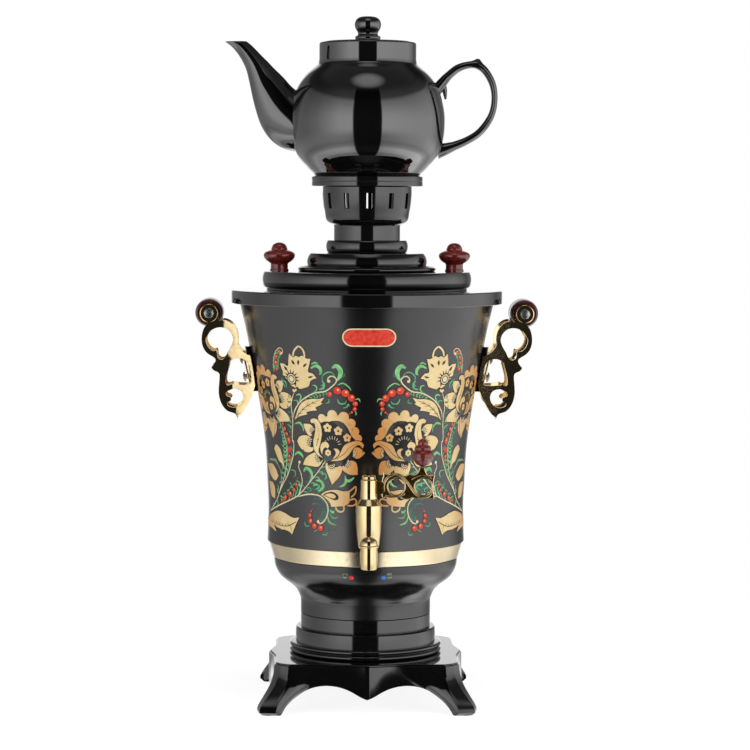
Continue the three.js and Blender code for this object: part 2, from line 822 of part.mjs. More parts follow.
function thermostat() {
  return revolve([
    [0, tankFoot - thermostatHeight],
    [thermostatRadius / 2, tankFoot - thermostatHeight],
    [thermostatRadius / 2, tankFoot - thermostatHeight / 2],
    [thermostatRadius, tankFoot - thermostatHeight / 2],
    [thermostatRadius, tankFoot],
    [0, tankFoot],
  ], smallSteps);
}

const lampHeightZ = bowlTop - lampDrop;
const lampFront = bowlRadius - lampProud;

function indicatorLamp(x) {
  const back = lampFront - lampLength;
  return revolve([
    [0, back],
    [lampRadius, back],
    ...arc(0, lampFront - lampRadius, lampRadius, 0, 90),
  ], tinySteps).rotateX(Math.PI / 2).translate(x, 0, lampHeightZ);
}

function indicatorBoard() {
  const front = lampFront - lampLength - seatGap;
  return block([-boardWidth / 2, -front, lampHeightZ - boardHeight / 2],
    [boardWidth / 2, -front + boardThickness, lampHeightZ + boardHeight / 2]);
}

// Rim and lid

function rimRing() {
  const under = tankTop + seatGap;
  const low = rimTop - rimHeight;
  const skirtOuter = tankTopRadius - tankWall - rimFillet * 2;
  return revolve([
    [rimRadius - rimWall, low],
    [rimRadius, low],
    ...arc(rimRadius - rimFillet, rimTop - rimFillet, rimFillet, 0, 90),
    [rimOpening, rimTop],
    [rimOpening, under],
    [skirtOuter - rimWall, under],
    [skirtOuter - rimWall, under - rimSkirtHeight],
    [skirtOuter, under - rimSkirtHeight],
    [skirtOuter, under],
    [rimRadius - rimWall, under],
  ]);
}

const lidSkirtRadius = rimOpening - lidSkirtGap;
const gasketFoot = rimTop - lidSkirtDepth + gasketLift;

function lidCover() {
  const low = rimTop - lidSkirtDepth;
  const inner = lidSkirtRadius - lidWall - gasketDepth;
  const cover = revolve([
    [inner, low],
    [lidSkirtRadius, low],
    [lidSkirtRadius, gasketFoot],
    [lidSkirtRadius - gasketDepth, gasketFoot],
    [lidSkirtRadius - gasketDepth, gasketFoot + gasketHeight],
    [lidSkirtRadius, gasketFoot + gasketHeight],
    [lidSkirtRadius, rimTop],
    [lidFootRadius, rimTop],
    [lidFootRadius, rimTop + lidFootHeight],
    ...arc(lidRadius - lidFillet, rimTop + lidFootHeight + lidFillet, lidFillet, lidUnderAngle, 0, 1),
    ...arc(lidRadius - lidFillet, lidTop - lidFillet, lidFillet, 0, 90),
    [lidHoleRadius, lidTop],
    [lidHoleRadius, lidTop - lidWall],
    [inner, lidTop - lidWall],
  ]);
  const holeRadius = knobScrewRadius + seatGap;
  const knobHoles = [-knobOffset, knobOffset].map((x) =>
    rod(holeRadius, lidTop - lidWall - overrun, lidTop + overrun, tinySteps).translate(x, 0, 0));
  return cut(cover, ...knobHoles);
}

function lidGasket() {
  const inner = lidSkirtRadius - gasketDepth + seatGap;
  const low = gasketFoot + seatGap;
  const high = gasketFoot + gasketHeight - seatGap;
  return revolve([
    [inner, low],
    [rimOpening - seatGap, low],
    [rimOpening - seatGap, high],
    [inner, high],
  ]);
}

function lidKnob() {
  const outline = smooth([
    [knobStemRadius, knobHeight * knobStemShare],
    ...knobShares.map(([r, z]) => [knobRadius * r, knobHeight * z]),
    [0, knobHeight],
  ], knobSteps);
  const knob = revolve([
    [0, 0],
    [knobStemRadius, 0],
    [knobStemRadius * knobStemWaistShare, (knobHeight * knobStemShare) / 2],
    ...outline,
  ], smallSteps);
  return cut(knob, rod(knobScrewRadius + seatGap, -overrun, knobScrewLength - lidWall + seatGap, tinySteps));
}

function knobScrew() {
  return revolve([
    [0, -lidWall - knobScrewHeadHeight],
    [knobScrewHeadRadius, -lidWall - knobScrewHeadHeight],
    [knobScrewHeadRadius, -lidWall - seatGap / 3],
    [knobScrewRadius, -lidWall - seatGap / 3],
    [knobScrewRadius, knobScrewLength - lidWall],
    [0, knobScrewLength - lidWall],
  ], tinySteps);
}

function stackBase() {
  const footTop = lidTop + stackFootHeight;
  const lowerTop = footTop + lowerFlangeHeight;
  const round = stackWall / 2;
  return revolve([
    [stackNeckRadius - stackWall, lidTop],
    [stackFootRadius - round, lidTop],
    ...arc(stackFootRadius - round, footTop - round, round, 0, 90),
    [stackNeckRadius, footTop],
    [lowerFlangeRadius, footTop + round],
    ...arc(lowerFlangeTopRadius - round, lowerTop - round, round, lowerFlangeAngle, 90),
    [upperFlangeRadius - round, lowerTop],
    ...arc(upperFlangeRadius - round, lowerTop + round, round, upperFlangeAngle, 0, 1),
    ...arc(upperFlangeRadius - round, stackTop - round, round, 0, 90),
    [stackBore, stackTop],
    [stackBore, lowerTop - stackWall],
    [lowerFlangeTopRadius - stackWall, lowerTop - stackWall],
  ], mediumSteps);
}

function crown() {
  const bore = crownNeckRadius - crownWall;
  const cupInside = (radius) => radius - crownWall;
  const shoulderAxis = crownCupFootRadius - crownShoulder;
  const shell = revolve([
    [bore, stackTop],
    [crownNeckRadius, stackTop],
    [crownNeckRadius, crownCupFoot],
    ...arc(shoulderAxis, crownCupFoot + crownShoulder, crownShoulder, crownShoulderAngle, 0),
    [crownCupRadius, crownCupFoot + crownCupHeight / 2],
    [crownCupRadius, crownTop],
    [cupInside(crownCupRadius), crownTop],
    [cupInside(crownCupRadius), crownCupFoot + crownCupHeight / 2],
    [cupInside(crownCupFootRadius), crownCupFoot + crownShoulder + crownWall],
    [bore, crownCupFoot + crownWall],
  ], slotCount * 2);
  const slotTop = crownTop - slotDrop;
  const slots = [];
  for (let i = 0; i < slotCount / 2; i += 1) {
    const slot = block([-slotWidth / 2, -crownCupRadius - overrun, slotTop - slotHeight],
      [slotWidth / 2, crownCupRadius + overrun, slotTop]);
    slots.push(slot.rotateZ((i * 2 * Math.PI) / slotCount));
  }
  return cut(shell, ...slots);
}

function potPlate() {
  const spigot = crownCupRadius - crownWall - seatGap;
  const middle = crownTop + potPlateHeight / 2;
  return revolve([
    [spigot - crownWall, crownTop - potPlateLip],
    [spigot, crownTop - potPlateLip],
    [spigot, crownTop],
    [potPlateRadius, crownTop],
    [potPlateRadius, middle - potPlateWaist],
    [potPlateRadius - potPlateWaist, middle],
    [potPlateRadius, middle + potPlateWaist],
    [potPlateRadius, potFoot],
    [potPlateHole, potFoot],
    [potPlateHole, crownTop],
    [spigot - crownWall, crownTop],
  ], mediumSteps);
}

// Teapot

const bodyPairs = (inset) => bodyHeightShares.map((share, i) => [
  teapotRadius * bodyRadiusShares[i] - inset,
  potFoot + teapotHeight * share,
]);

function teapotBody() {
  const lining = smooth(bodyPairs(teapotWall), teapotLiningSteps).reverse();
  const ledgeInner = collarRadius - teapotWall * 2;
  const lidSeat = potTop - teapotLedge - seatGap;
  const shell = revolve([
    [0, potFoot + teapotFootHeight],
    [teapotFootRadius - teapotWall, potFoot + teapotFootHeight],
    [teapotFootRadius - teapotWall, potFoot],
    [teapotFootRadius, potFoot],
    ...smooth(bodyPairs(0), teapotSkinSteps),
    ...arc(collarRadius - collarFillet, potTop - collarFillet, collarFillet, 0, 90),
    [collarRadius - teapotWall, potTop],
    [collarRadius - teapotWall, lidSeat],
    [ledgeInner, lidSeat],
    [ledgeInner, potCollarFoot],
    ...lining.slice(1),
    [teapotFootRadius - teapotWall, potFoot + teapotFootHeight + teapotWall],
    [0, potFoot + teapotFootHeight + teapotWall],
  ]);
  return cut(shell, spoutLoft(-spoutWall, spoutOuterShares.length));
}

// The teapot's outer form as a full solid, grown by a clearance.
function teapotCutter(clearance) {
  const pairs = smooth(bodyPairs(-clearance), teapotSkinSteps);
  return revolve([[0, potFoot - overrun], [pairs[0][0], potFoot - overrun], ...pairs, [0, potCollarFoot]]);
}

// A point of the spout's side view, by its shares of the way from the root to the lip.
function spoutPoint([out, up]) {
  const root = teapotRadius * spoutRootShare;
  return new THREE.Vector3(-root - (spoutReach - root) * out, 0, potFoot + spoutRise * up);
}

// The spout's form from its root inside the body out to the lip, grown by a clearance.
function spoutLoft(growth, count) {
  const rings = [];
  for (let i = 0; i < count; i += 1) {
    const [outer, inner] = [spoutPoint(spoutOuterShares[i]), spoutPoint(spoutInnerShares[i])];
    const centre = outer.clone().add(inner).divideScalar(2);
    const reach = inner.clone().sub(centre);
    const halfHeight = reach.length() + growth;
    const halfWidth = spoutHalfWidth * spoutWidthShares[i] + growth;
    reach.normalize();
    if (growth < 0 && i === count - 1) centre.z += overrun;
    const ring = [];
    for (let k = 0; k < spoutSides; k += 1) {
      const angle = (2 * Math.PI * k) / spoutSides;
      ring.push(new THREE.Vector3(
        centre.x + reach.x * halfHeight * Math.cos(angle),
        halfWidth * Math.sin(angle),
        centre.z + reach.z * halfHeight * Math.cos(angle),
      ));
    }
    rings.push(ring);
  }
  return loft(rings);
}

function teapotSpout() {
  const count = spoutOuterShares.length;
  return cut(spoutLoft(0, count), spoutLoft(-spoutWall, count), teapotCutter(seatGap));
}

function teapotHandle() {
  const places = potHandleShares.map(([x, z]) =>
    new THREE.Vector3(potHandleReach * x, 0, potFoot + potHandleRise * z));
  const curve = new THREE.CatmullRomCurve3(places, false, 'centripetal');
  const rings = [];
  for (let i = 0; i <= potHandleSteps; i += 1) {
    const share = i / potHandleSteps;
    const centre = curve.getPointAt(share);
    const along = curve.getTangentAt(share);
    const out = new THREE.Vector3(along.z, 0, -along.x);
    const swell = 1 + potHandleSwellShare * Math.pow(Math.abs(2 * share - 1), potHandleSwellPower);
    const ring = [];
    for (let k = 0; k < potHandleSides; k += 1) {
      const angle = (2 * Math.PI * k) / potHandleSides;
      const reach = potHandleHalfThickness * swell * Math.cos(angle);
      ring.push(new THREE.Vector3(centre.x + out.x * reach,
        potHandleHalfWidth * swell * Math.sin(angle), centre.z + out.z * reach));
    }
    rings.push(ring);
  }
  return cut(loft(rings), teapotCutter(seatGap));
}

function teapotLid() {
  const seat = potTop - teapotLedge;
  const rim = collarRadius - teapotWall - seatGap;
  const skirt = collarRadius - teapotWall * 2 - seatGap * 2;
  const top = seat + potLidThickness + potLidDome;
  const knobLine = potKnobShares.map(([r, z]) => [potKnobRadius * r, top + potKnobHeight * z]);
  const knob = smooth(knobLine, potKnobSteps);
  return revolve([
    [0, seat],
    [skirt - potLidSkirtWall, seat],
    [skirt - potLidSkirtWall, seat - potLidSkirt],
    [skirt, seat - potLidSkirt],
    [skirt, seat],
    [rim, seat],
    [rim, seat + potLidThickness / 2],
    [rim - potLidThickness / 2, seat + potLidThickness],
    ...knob,
  ], mediumSteps);
}

// Tap

const barrelTop = tapHeight + barrelHeight - barrelDrop + shoulderHeight;
const barrelFoot = tapHeight - barrelDrop;
const nozzleMouth = tapHeight - nozzleDrop;
const nozzleDomeZ = tapHeight - nozzleDomeDrop;

function tapBody() {
  const barrel = revolve([
    [0, barrelFoot - barrelDome],
    ...arc(0, barrelFoot, barrelFootRadius, barrelDomeAngle, 0),
    ...smooth([
      ...barrelShares.map(([r, z]) => [barrelFootRadius * r, barrelFoot + barrelHeight * z]),
      [barrelRadius, barrelTop - shoulderHeight - barrelDome],
    ], barrelSteps),
    [barrelRadius, barrelTop - shoulderHeight],
    [barrelTopRadius, barrelTop],
    [0, barrelTop],
  ], smallSteps);
  const nozzle = revolve([
    [0, nozzleMouth],
    [nozzleTipRadius, nozzleMouth],
    [nozzleRadius, nozzleMouth + nozzleRadius],
    [nozzleRadius, nozzleDomeZ],
    ...arc(0, nozzleDomeZ, nozzleRadius, nozzleDomeAngle, 90),
  ], smallSteps).translate(0, -nozzleForward, 0);
  const collarBack = tapReach - tankRadiusAt(tapHeight) - tapGasketThickness;
  const collar = crossRod(shankCollarRadius, collarBack - shankCollarLength, collarBack, tapHeight);
  const shank = crossRod(shankRadius, 0, tapReach - tankRadiusAt(tapHeight) + shankInside, tapHeight);
  const nozzleHole = rod(nozzleBore, nozzleMouth - overrun, nozzleDomeZ, smallSteps)
    .translate(0, -nozzleForward, 0);
  const plugHole = rod(plugBore, barrelTop - plugDepth, barrelTop + overrun, smallSteps);
  const link = crossRod(shankBore, -nozzleForward, plugBore, nozzleDomeZ, tinySteps);
  const feed = crossRod(shankBore, 0, tapReach, tapHeight, tinySteps);
  return cut(joined(barrel, nozzle, collar, shank), nozzleHole, plugHole, link, feed)
    .translate(0, -tapReach, 0);
}

function tapKey() {
  return revolve([
    [0, barrelTop - plugDepth + turnGap],
    [plugBore - plugGap, barrelTop - plugDepth + turnGap],
    [plugBore - plugGap, barrelTop + seatGap / 3],
    [keyRadius, barrelTop + seatGap / 3],
    [keyRadius, barrelTop + keyHeight],
    [0, barrelTop + keyHeight],
  ], smallSteps).translate(0, -tapReach, 0);
}

function tapCap() {
  const low = barrelTop + keyHeight;
  const round = capHeight / 2;
  return revolve([
    [0, low],
    [capRadius, low],
    ...arc(capRadius - round, low + capHeight - round, round, 0, 90),
    [0, low + capHeight],
  ], smallSteps).translate(0, -tapReach, 0);
}

const keyPlateFoot = barrelTop + keyHeight / 2 - keyPlateHeight / 2 + capHeight;

function tapKeyPlate() {
  const place = ([x, z]) =>
    new THREE.Vector2(keyPlateGap + keyPlateLength * x, keyPlateFoot + keyPlateHeight * z);
  const outline = keyPlateShares.map(place);
  const middle = keyPlateFoot + keyPlateHeight / 2;
  const holePlaces = keyHoleShares.map((share) => keyPlateGap + keyPlateLength * share);
  const holes = holePlaces.map((x) => circlePoints(x, middle, keyHoleRadius, smallSteps));
  const plate = flatPlate(outline, holes, keyPlateThickness);
  const rims = holePlaces.map((x) => flatPlate(
    circlePoints(x, middle, keyHoleRadius + keyRidgeWidth, smallSteps),
    [circlePoints(x, middle, keyHoleRadius, smallSteps)],
    keyPlateThickness + keyRidgeWidth,
  ));
  const tabMiddle = barrelTop + keyHeight / 2;
  const tabEnd = keyPlateGap + keyPlateLength * keyTabShare;
  const tab = block(
    [keyRadius + seatGap, -keyPlateThickness / 2, tabMiddle - keyTabHeight / 2],
    [tabEnd, keyPlateThickness / 2, tabMiddle + keyTabHeight / 2],
  );
  return joined(plate, tab, ...rims).translate(0, -tapReach, 0);
}

function tapFinial() {
  const low = keyPlateFoot + keyPlateHeight * keyPeakShare + seatGap;
  return revolve([
    [0, low],
    [finialFootRadius, low],
    ...smooth(finialShares.map(([r, z]) => [finialRadius * r, low + finialHeight * z]), finialSteps),
    [0, low + finialHeight],
  ], smallSteps).translate(keyPlateGap + keyPlateLength * keyHoleShares[1], -tapReach, 0);
}

function tapGasket() {
  const wall = tankRadiusAt(tapHeight);
  const front = -wall - tapGasketThickness + seatGap;
  const ring = crossRod(tapGasketRadius, front, -wall + tapGasketThickness, tapHeight);
  return cut(ring, crossRod(shankRadius + seatGap, -2 * wall, 0, tapHeight), tankCutter(seatGap));
}

function tapNut() {
  const wall = tankRadiusAt(tapHeight) - tankWall;
  const face = Math.sqrt(wall * wall - tapNutRadius * tapNutRadius) - seatGap * 2;
  const nut = crossRod(tapNutRadius, -face, -face + tapNutThickness, tapHeight, nutSides);
  return cut(nut, crossRod(shankRadius + seatGap, -face - overrun, 0, tapHeight));
}

// Side handles, drawn for the +X side with the grip along Y

const handlePoint = ([share, drop]) =>
  new THREE.Vector2(gripOffset - bracketReach * share, gripHeight - bracketHeight * drop);

// The outer face of the mounting pad leans with the tank's wall.
const padFaceTop = tankRadiusAt(gripHeight - padTopDrop) + padThickness;

function leaningBlock(inner, outer, halfWidth) {
  const top = gripHeight - padTopDrop;
  const low = top - padLength;
  const shift = padFaceShift();
  const outline = [
    new THREE.Vector2(padFaceTop + inner, top),
    new THREE.Vector2(padFaceTop + outer, top),
    new THREE.Vector2(padFaceTop + outer - shift, low),
    new THREE.Vector2(padFaceTop + inner - shift, low),
  ];
  return flatPlate(outline, [], 2 * halfWidth);
}

function padFaceShift() {
  const top = gripHeight - padTopDrop;
  return tankRadiusAt(top) - tankRadiusAt(top - padLength);
}

function handlePad() {
  const half = gripHalfLength + cheekThickness;
  return cut(leaningBlock(-2 * padThickness, 0, half), tankCutter(seatGap), ...screwPlaces().map(screwHole));
}

// Turns a piece that was drawn along Z to lie square to the pad's leaning face, at a screw's place.
function alongScrew(geometry, [x, z]) {
  return geometry.rotateY(Math.PI / 2 + Math.atan2(padFaceShift(), padLength)).translate(x, 0, z);
}

const screwHole = (place) =>
  alongScrew(rod(handleScrewRadius + seatGap, -handleScrewLength, handleScrewLength, tinySteps), place);

function screwPlaces() {
  const top = gripHeight - padTopDrop;
  return handleScrewShares.map((share) => [
    padFaceTop - padFaceShift() * share,
    top - padLength * share,
  ]);
}

function handleBracket() {
  const holes = [
    circlePoints(gripOffset - bracketReach * ringHoleShares[0],
      gripHeight - bracketHeight * ringHoleShares[1], ringHoleRadius, smallSteps),
    circlePoints(gripOffset - bracketReach * lowerHoleShares[0],
      gripHeight - bracketHeight * lowerHoleShares[1], lowerHoleRadius, tinySteps),
    middleHoleShares.map(handlePoint),
  ];
  const boss = flatPlate(circlePoints(gripOffset, gripHeight, bossRadius, smallSteps), [], cheekThickness);
  const plate = flatPlate(cheekShares.map(handlePoint), holes, cheekThickness);
  const cheek = joined(plate, boss);
  const offset = gripHalfLength + cheekThickness / 2;
  const web = leaningBlock(seatGap, webThickness, offset);
  const wallSide = leaningBlock(-4 * padThickness, seatGap, offset + cheekThickness);
  const boltHole = crossRod(boltRadius + seatGap, -2 * offset, 2 * offset, gripHeight, tinySteps)
    .translate(gripOffset, 0, 0);
  const whole = joined(cheek.clone().translate(0, -offset, 0), cheek.clone().translate(0, offset, 0), web);
  return cut(whole, wallSide, boltHole, ...screwPlaces().map(screwHole));
}

function handleGrip() {
  const half = gripHalfLength - seatGap;
  const grip = revolve([
    [0, -half],
    [gripRadius * gripEndShare, -half],
    ...smooth(gripShares.map(([r, share]) => [gripRadius * r, half * share]), gripSteps),
    [gripRadius * gripEndShare, half],
    [0, half],
  ], smallSteps);
  return cut(grip, rod(boltRadius + seatGap, -2 * half, 2 * half, tinySteps))
    .rotateX(Math.PI / 2).translate(gripOffset, 0, gripHeight);
}

function gripBolt() {
  const face = gripHalfLength + cheekThickness + seatGap / 3;
  return revolve([
    [0, -face - boltHeadHeight],
    [boltHeadRadius, -face - boltHeadHeight],
    [boltHeadRadius, -face],
    [boltRadius, -face],
    [boltRadius, face],
    [boltHeadRadius, face],
    [boltHeadRadius, face + boltHeadHeight],
    [0, face + boltHeadHeight],
  ], tinySteps).rotateX(Math.PI / 2).translate(gripOffset, 0, gripHeight);
}

function handleScrew(place) {
  return alongScrew(revolve([
    [0, webThickness - handleScrewLength],
    [handleScrewRadius, webThickness - handleScrewLength],
    [handleScrewRadius, webThickness + seatGap],
    [handleScrewHeadRadius, webThickness + seatGap],
    [handleScrewHeadRadius, webThickness + seatGap + handleScrewHeadHeight / 2],
    [handleScrewHeadRadius / 2, webThickness + seatGap + handleScrewHeadHeight],
    [0, webThickness + seatGap + handleScrewHeadHeight],
  ], tinySteps), place);
}

// Assembly

addPiece('base_casting', baseCasting(), blackPlastic);
const footOffset = plateHalf + legFlare - footSize / 2 - footToe / 2;
const padPlaces = [
  ['front_left', -1, -1],
  ['front_right', 1, -1],
  ['rear_left', -1, 1],
  ['rear_right', 1, 1],
];
for (const [place, sx, sy] of padPlaces) {
  addPiece(`foot_pad_${place}`, rod(padRadius, 0, padHeight, tinySteps)
    .translate(sx * footOffset, sy * footOffset, 0), rubber);
}
addPiece('bottom_cover', bottomCover(), blackPlastic);
addPiece('base_collar', baseCollar(), blackPlastic);
addPiece('lower_housing', lowerHousing(), blackPaint);
addPiece('power_inlet', powerInlet(), blackPlastic);
addPiece('switch_frame', switchFrame(), blackPlastic);
addPiece('switch_rocker', switchRocker(), blackPlastic);
addPiece('gold_band', goldBand(), gold);
addPiece('tank_shell', tankShell(), blackPaint);
addPiece('heating_element', heatingElement(), steel);
addPiece('heater_clamp', heaterClamp(), steel);
addPiece('thermostat', thermostat(), steel);
addPiece('indicator_lamp_red', indicatorLamp(-lampSpread), redLens);
addPiece('indicator_lamp_blue', indicatorLamp(lampSpread), blueLens);
addPiece('indicator_board', indicatorBoard(), boardGreen);
addPiece('rim_ring', rimRing(), blackPlastic);

addPiece('lid_cover', lidCover(), blackPlastic);
addPiece('lid_gasket', lidGasket(), rubber);
for (const [place, side] of [['left', -1], ['right', 1]]) {
  addPiece(`lid_knob_${place}`, lidKnob().translate(side * knobOffset, 0, lidTop), redWood);
  addPiece(`lid_knob_screw_${place}`, knobScrew().translate(side * knobOffset, 0, lidTop), steel);
}
addPiece('stack_base', stackBase(), blackPlastic);
addPiece('crown', crown(), blackPlastic);
addPiece('pot_plate', potPlate(), blackPlastic);

addPiece('teapot_body', teapotBody(), blackGlaze);
addPiece('teapot_spout', teapotSpout(), blackGlaze);
addPiece('teapot_handle', teapotHandle(), blackGlaze);
addPiece('teapot_lid', teapotLid(), blackGlaze);

addPiece('tap_body', tapBody(), gold);
addPiece('tap_gasket', tapGasket(), rubber);
addPiece('tap_nut', tapNut(), steel);
addPiece('tap_key', tapKey(), gold);
addPiece('tap_cap', tapCap(), gold);
addPiece('tap_key_plate', tapKeyPlate(), gold);
addPiece('tap_finial', tapFinial(), redWood);

for (const [place, turn] of [['right', 0], ['left', Math.PI]]) {
  const side = new THREE.Group();
  side.rotation.z = turn;
  model.add(side);
  addPiece(`handle_pad_${place}`, handlePad(), blackPlastic, side);
  addPiece(`handle_bracket_${place}`, handleBracket(), gold, side);
  addPiece(`handle_grip_${place}`, handleGrip(), redWood, side);
  addPiece(`grip_bolt_${place}`, gripBolt(), steel, side);
  screwPlaces().forEach((screwPlace, i) =>
    addPiece(`handle_screw_${place}_${['upper', 'lower'][i]}`, handleScrew(screwPlace), steel, side));
}

// The origin is under the middle of the whole, on the surface that the feet rest on.
model.position.y = (frontReach - rimRadius) / 2;

export default model;
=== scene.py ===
import math

import bmesh
import bpy
from mathutils import Matrix, Vector


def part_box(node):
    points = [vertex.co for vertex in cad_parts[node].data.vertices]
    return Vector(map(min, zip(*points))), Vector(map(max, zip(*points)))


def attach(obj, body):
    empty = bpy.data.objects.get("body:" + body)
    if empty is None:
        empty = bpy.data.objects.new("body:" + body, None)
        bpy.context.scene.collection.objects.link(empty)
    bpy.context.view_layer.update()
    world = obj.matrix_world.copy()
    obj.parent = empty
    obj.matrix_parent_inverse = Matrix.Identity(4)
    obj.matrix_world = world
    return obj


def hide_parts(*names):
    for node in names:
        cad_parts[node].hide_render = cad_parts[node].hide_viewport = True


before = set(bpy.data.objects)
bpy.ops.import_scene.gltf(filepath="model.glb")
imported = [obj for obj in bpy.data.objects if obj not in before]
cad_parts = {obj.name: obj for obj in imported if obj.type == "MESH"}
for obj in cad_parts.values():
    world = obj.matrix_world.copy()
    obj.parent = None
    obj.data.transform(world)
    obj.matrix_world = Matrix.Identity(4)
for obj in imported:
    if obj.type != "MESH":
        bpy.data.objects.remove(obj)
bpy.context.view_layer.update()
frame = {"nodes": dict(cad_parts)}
nodes = frame["nodes"]
print("frame loaded:", len(nodes), "nodes")

# the vessel's axis stands a little behind the middle of the whole
tankLow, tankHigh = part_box("tank_shell")
axisY = (tankLow.y + tankHigh.y) / 2 * 1000  # millimetres, as are all sizes below

# camera: eye just under the top of the crown, far back, tilted down a little
cameraSettings = {
    "distance": 2.062, "eyeHeight": 0.3795, "aside": 0.0063, "azimuth": -1.4,
    "pitch": 3.01, "roll": 0.25, "shift": -0.05, "lens": 132.43, "sensor": 36.0,
}


def makeCamera():
    c = cameraSettings
    data = bpy.data.cameras.new("camera")
    data.lens = c["lens"]
    data.sensor_width = c["sensor"]
    data.shift_y = c["shift"]
    camera = bpy.data.objects.new("camera", data)
    around = Matrix.Rotation(math.radians(c["azimuth"]), 3, "Z")
    eye = around @ Vector((c["aside"], -c["distance"], c["eyeHeight"]))
    camera.location = eye + Vector((0, axisY / 1000, 0))
    look = around @ Matrix.Rotation(math.radians(90 - c["pitch"]), 3, "X")
    look = look @ Matrix.Rotation(math.radians(c["roll"]), 3, "Z")
    camera.rotation_euler = look.to_euler()
    bpy.context.scene.collection.objects.link(camera)
    bpy.context.scene.camera = camera


makeCamera()


def linear(hexColour):
    parts = [int(hexColour[i:i + 2], 16) / 255 for i in (1, 3, 5)]
    return tuple(c / 12.92 if c <= 0.04045 else ((c + 0.055) / 1.055) ** 2.4 for c in parts) + (1.0,)


def addNode(tree, kind, settings=None, links=None):
    node = tree.nodes.new(kind)
    for key, value in (settings or {}).items():
        if isinstance(key, int) or key in node.inputs:
            node.inputs[key].default_value = value
        else:
            setattr(node, key, value)
    for key, source in (links or {}).items():
        tree.links.new(source, node.inputs[key])
    return node


# soft lamps: two large ones in front at the sides and a small one overhead
lampSettings = {
    "sidePower": 24.0, "sideSize": (1.6, 2.0), "sideDistance": 2.4, "sideTurn": 52.0, "sideLift": 0.85,
    "topPower": 9.0, "topSize": (0.9, 0.9), "topPlace": (0.1, -0.35, 1.9), "aim": (0, 0, 0.25),
}


def makeLamps():
    s = lampSettings
    turned = math.radians(s["sideTurn"])
    reach = (s["sideDistance"] * math.sin(turned), -s["sideDistance"] * math.cos(turned))
    lamps = [
        ("lampLeft", s["sidePower"], s["sideSize"], (-reach[0], reach[1], s["sideLift"])),
        ("lampRight", s["sidePower"], s["sideSize"], (reach[0], reach[1], s["sideLift"])),
        ("lampTop", s["topPower"], s["topSize"], s["topPlace"]),
    ]
    for name, power, size, place in lamps:
        data = bpy.data.lights.new(name, "AREA")
        data.shape = "RECTANGLE"
        data.size, data.size_y = size
        data.energy = power
        lamp = bpy.data.objects.new(name, data)
        lamp.location = place
        lamp.rotation_euler = (Vector(s["aim"]) - Vector(place)).to_track_quat("-Z", "Y").to_euler()
        lamp.visible_camera = False
        lamp.visible_glossy = False  # the tent of the world is what gloss shows
        bpy.context.scene.collection.objects.link(lamp)


makeLamps()

# a photographer's tent: bright walls at both sides, a dark gap where the camera stands, a dark roof with
# one soft window in it; pairs of (degrees, brightness), round from the front to the right, and upwards
tent = {
    "peak": 1.5,
    "around": [(-180, 0.68), (-166, 0.68), (-160, 0.14), (-148, 0.16), (-124, 0.22), (-104, 0.28),
               (-82, 0.44), (-62, 0.7), (-45, 0.95), (-23.5, 1.0), (-22.0, 0.012), (19.5, 0.012),
               (21.0, 1.0), (34, 1.0), (48, 0.97), (66, 0.9), (86, 0.82), (108, 0.66), (124, 0.36),
               (138, 0.12), (160, 0.12), (166, 0.68), (180, 0.68)],
    "below": [(-180, 0.68), (-166, 0.68), (-160, 0.28), (-141, 0.32), (-122, 0.37), (-105, 0.42),
              (-78, 0.54), (-56, 0.62), (-40, 0.64), (-30, 0.6), (-23.5, 0.5), (-22.0, 0.012), (19.5, 0.012),
              (21.0, 0.5), (30, 0.58), (41, 0.64), (62, 0.77), (86, 0.79), (107, 0.82), (124, 0.74),
              (141, 0.46), (158, 0.4), (166, 0.68), (180, 0.68)],
    "upward": [(-90, 0.8), (-54, 0.8), (-48, 1.45), (-38, 1.65), (-33, 1.0), (-27, 0.72), (-22, 0.9),
               (-6, 1.0), (1, 1.0), (9, 0.9), (18, 0.72), (26, 0.5), (30, 0.14), (42, 0.08), (90, 0.08)],
    "window": (0.0, -0.4, 0.917), "windowEdge": 23.0, "windowCore": 3.0, "windowLight": 0.5,
    "horizon": (-19.0, -5.0), "roof": (38.0, 52.0), "roofLight": 0.05,
}


def tentBrightness(tree, way, name):
    # how bright the tent is in the direction way: round it, or up it
    split = addNode(tree, "ShaderNodeSeparateXYZ", links={0: way})
    if name in ("around", "below"):
        ahead = addNode(tree, "ShaderNodeMath", {"operation": "MULTIPLY", 1: -1.0}, {0: split.outputs["Y"]})
        angle = addNode(tree, "ShaderNodeMath", {"operation": "ARCTAN2"},
                        {0: split.outputs["X"], 1: ahead.outputs[0]})
    else:
        angle = addNode(tree, "ShaderNodeMath", {"operation": "ARCSINE"}, {0: split.outputs["Z"]})
    half = math.radians(abs(tent[name][0][0]))
    spread = addNode(tree, "ShaderNodeMapRange", {"From Min": -half, "From Max": half},
                     {"Value": angle.outputs[0]})
    ramp = addNode(tree, "ShaderNodeValToRGB", links={0: spread.outputs[0]})
    stops = ramp.color_ramp.elements
    stops.remove(stops[1])
    for i, (degrees, brightness) in enumerate(tent[name]):
        place = 0.5 + math.radians(degrees) / half / 2
        stop = stops[0] if i == 0 else stops.new(place)
        stop.color = (brightness, brightness, brightness, 1.0)
    stops[0].position = 0.0
    return ramp.outputs["Color"]


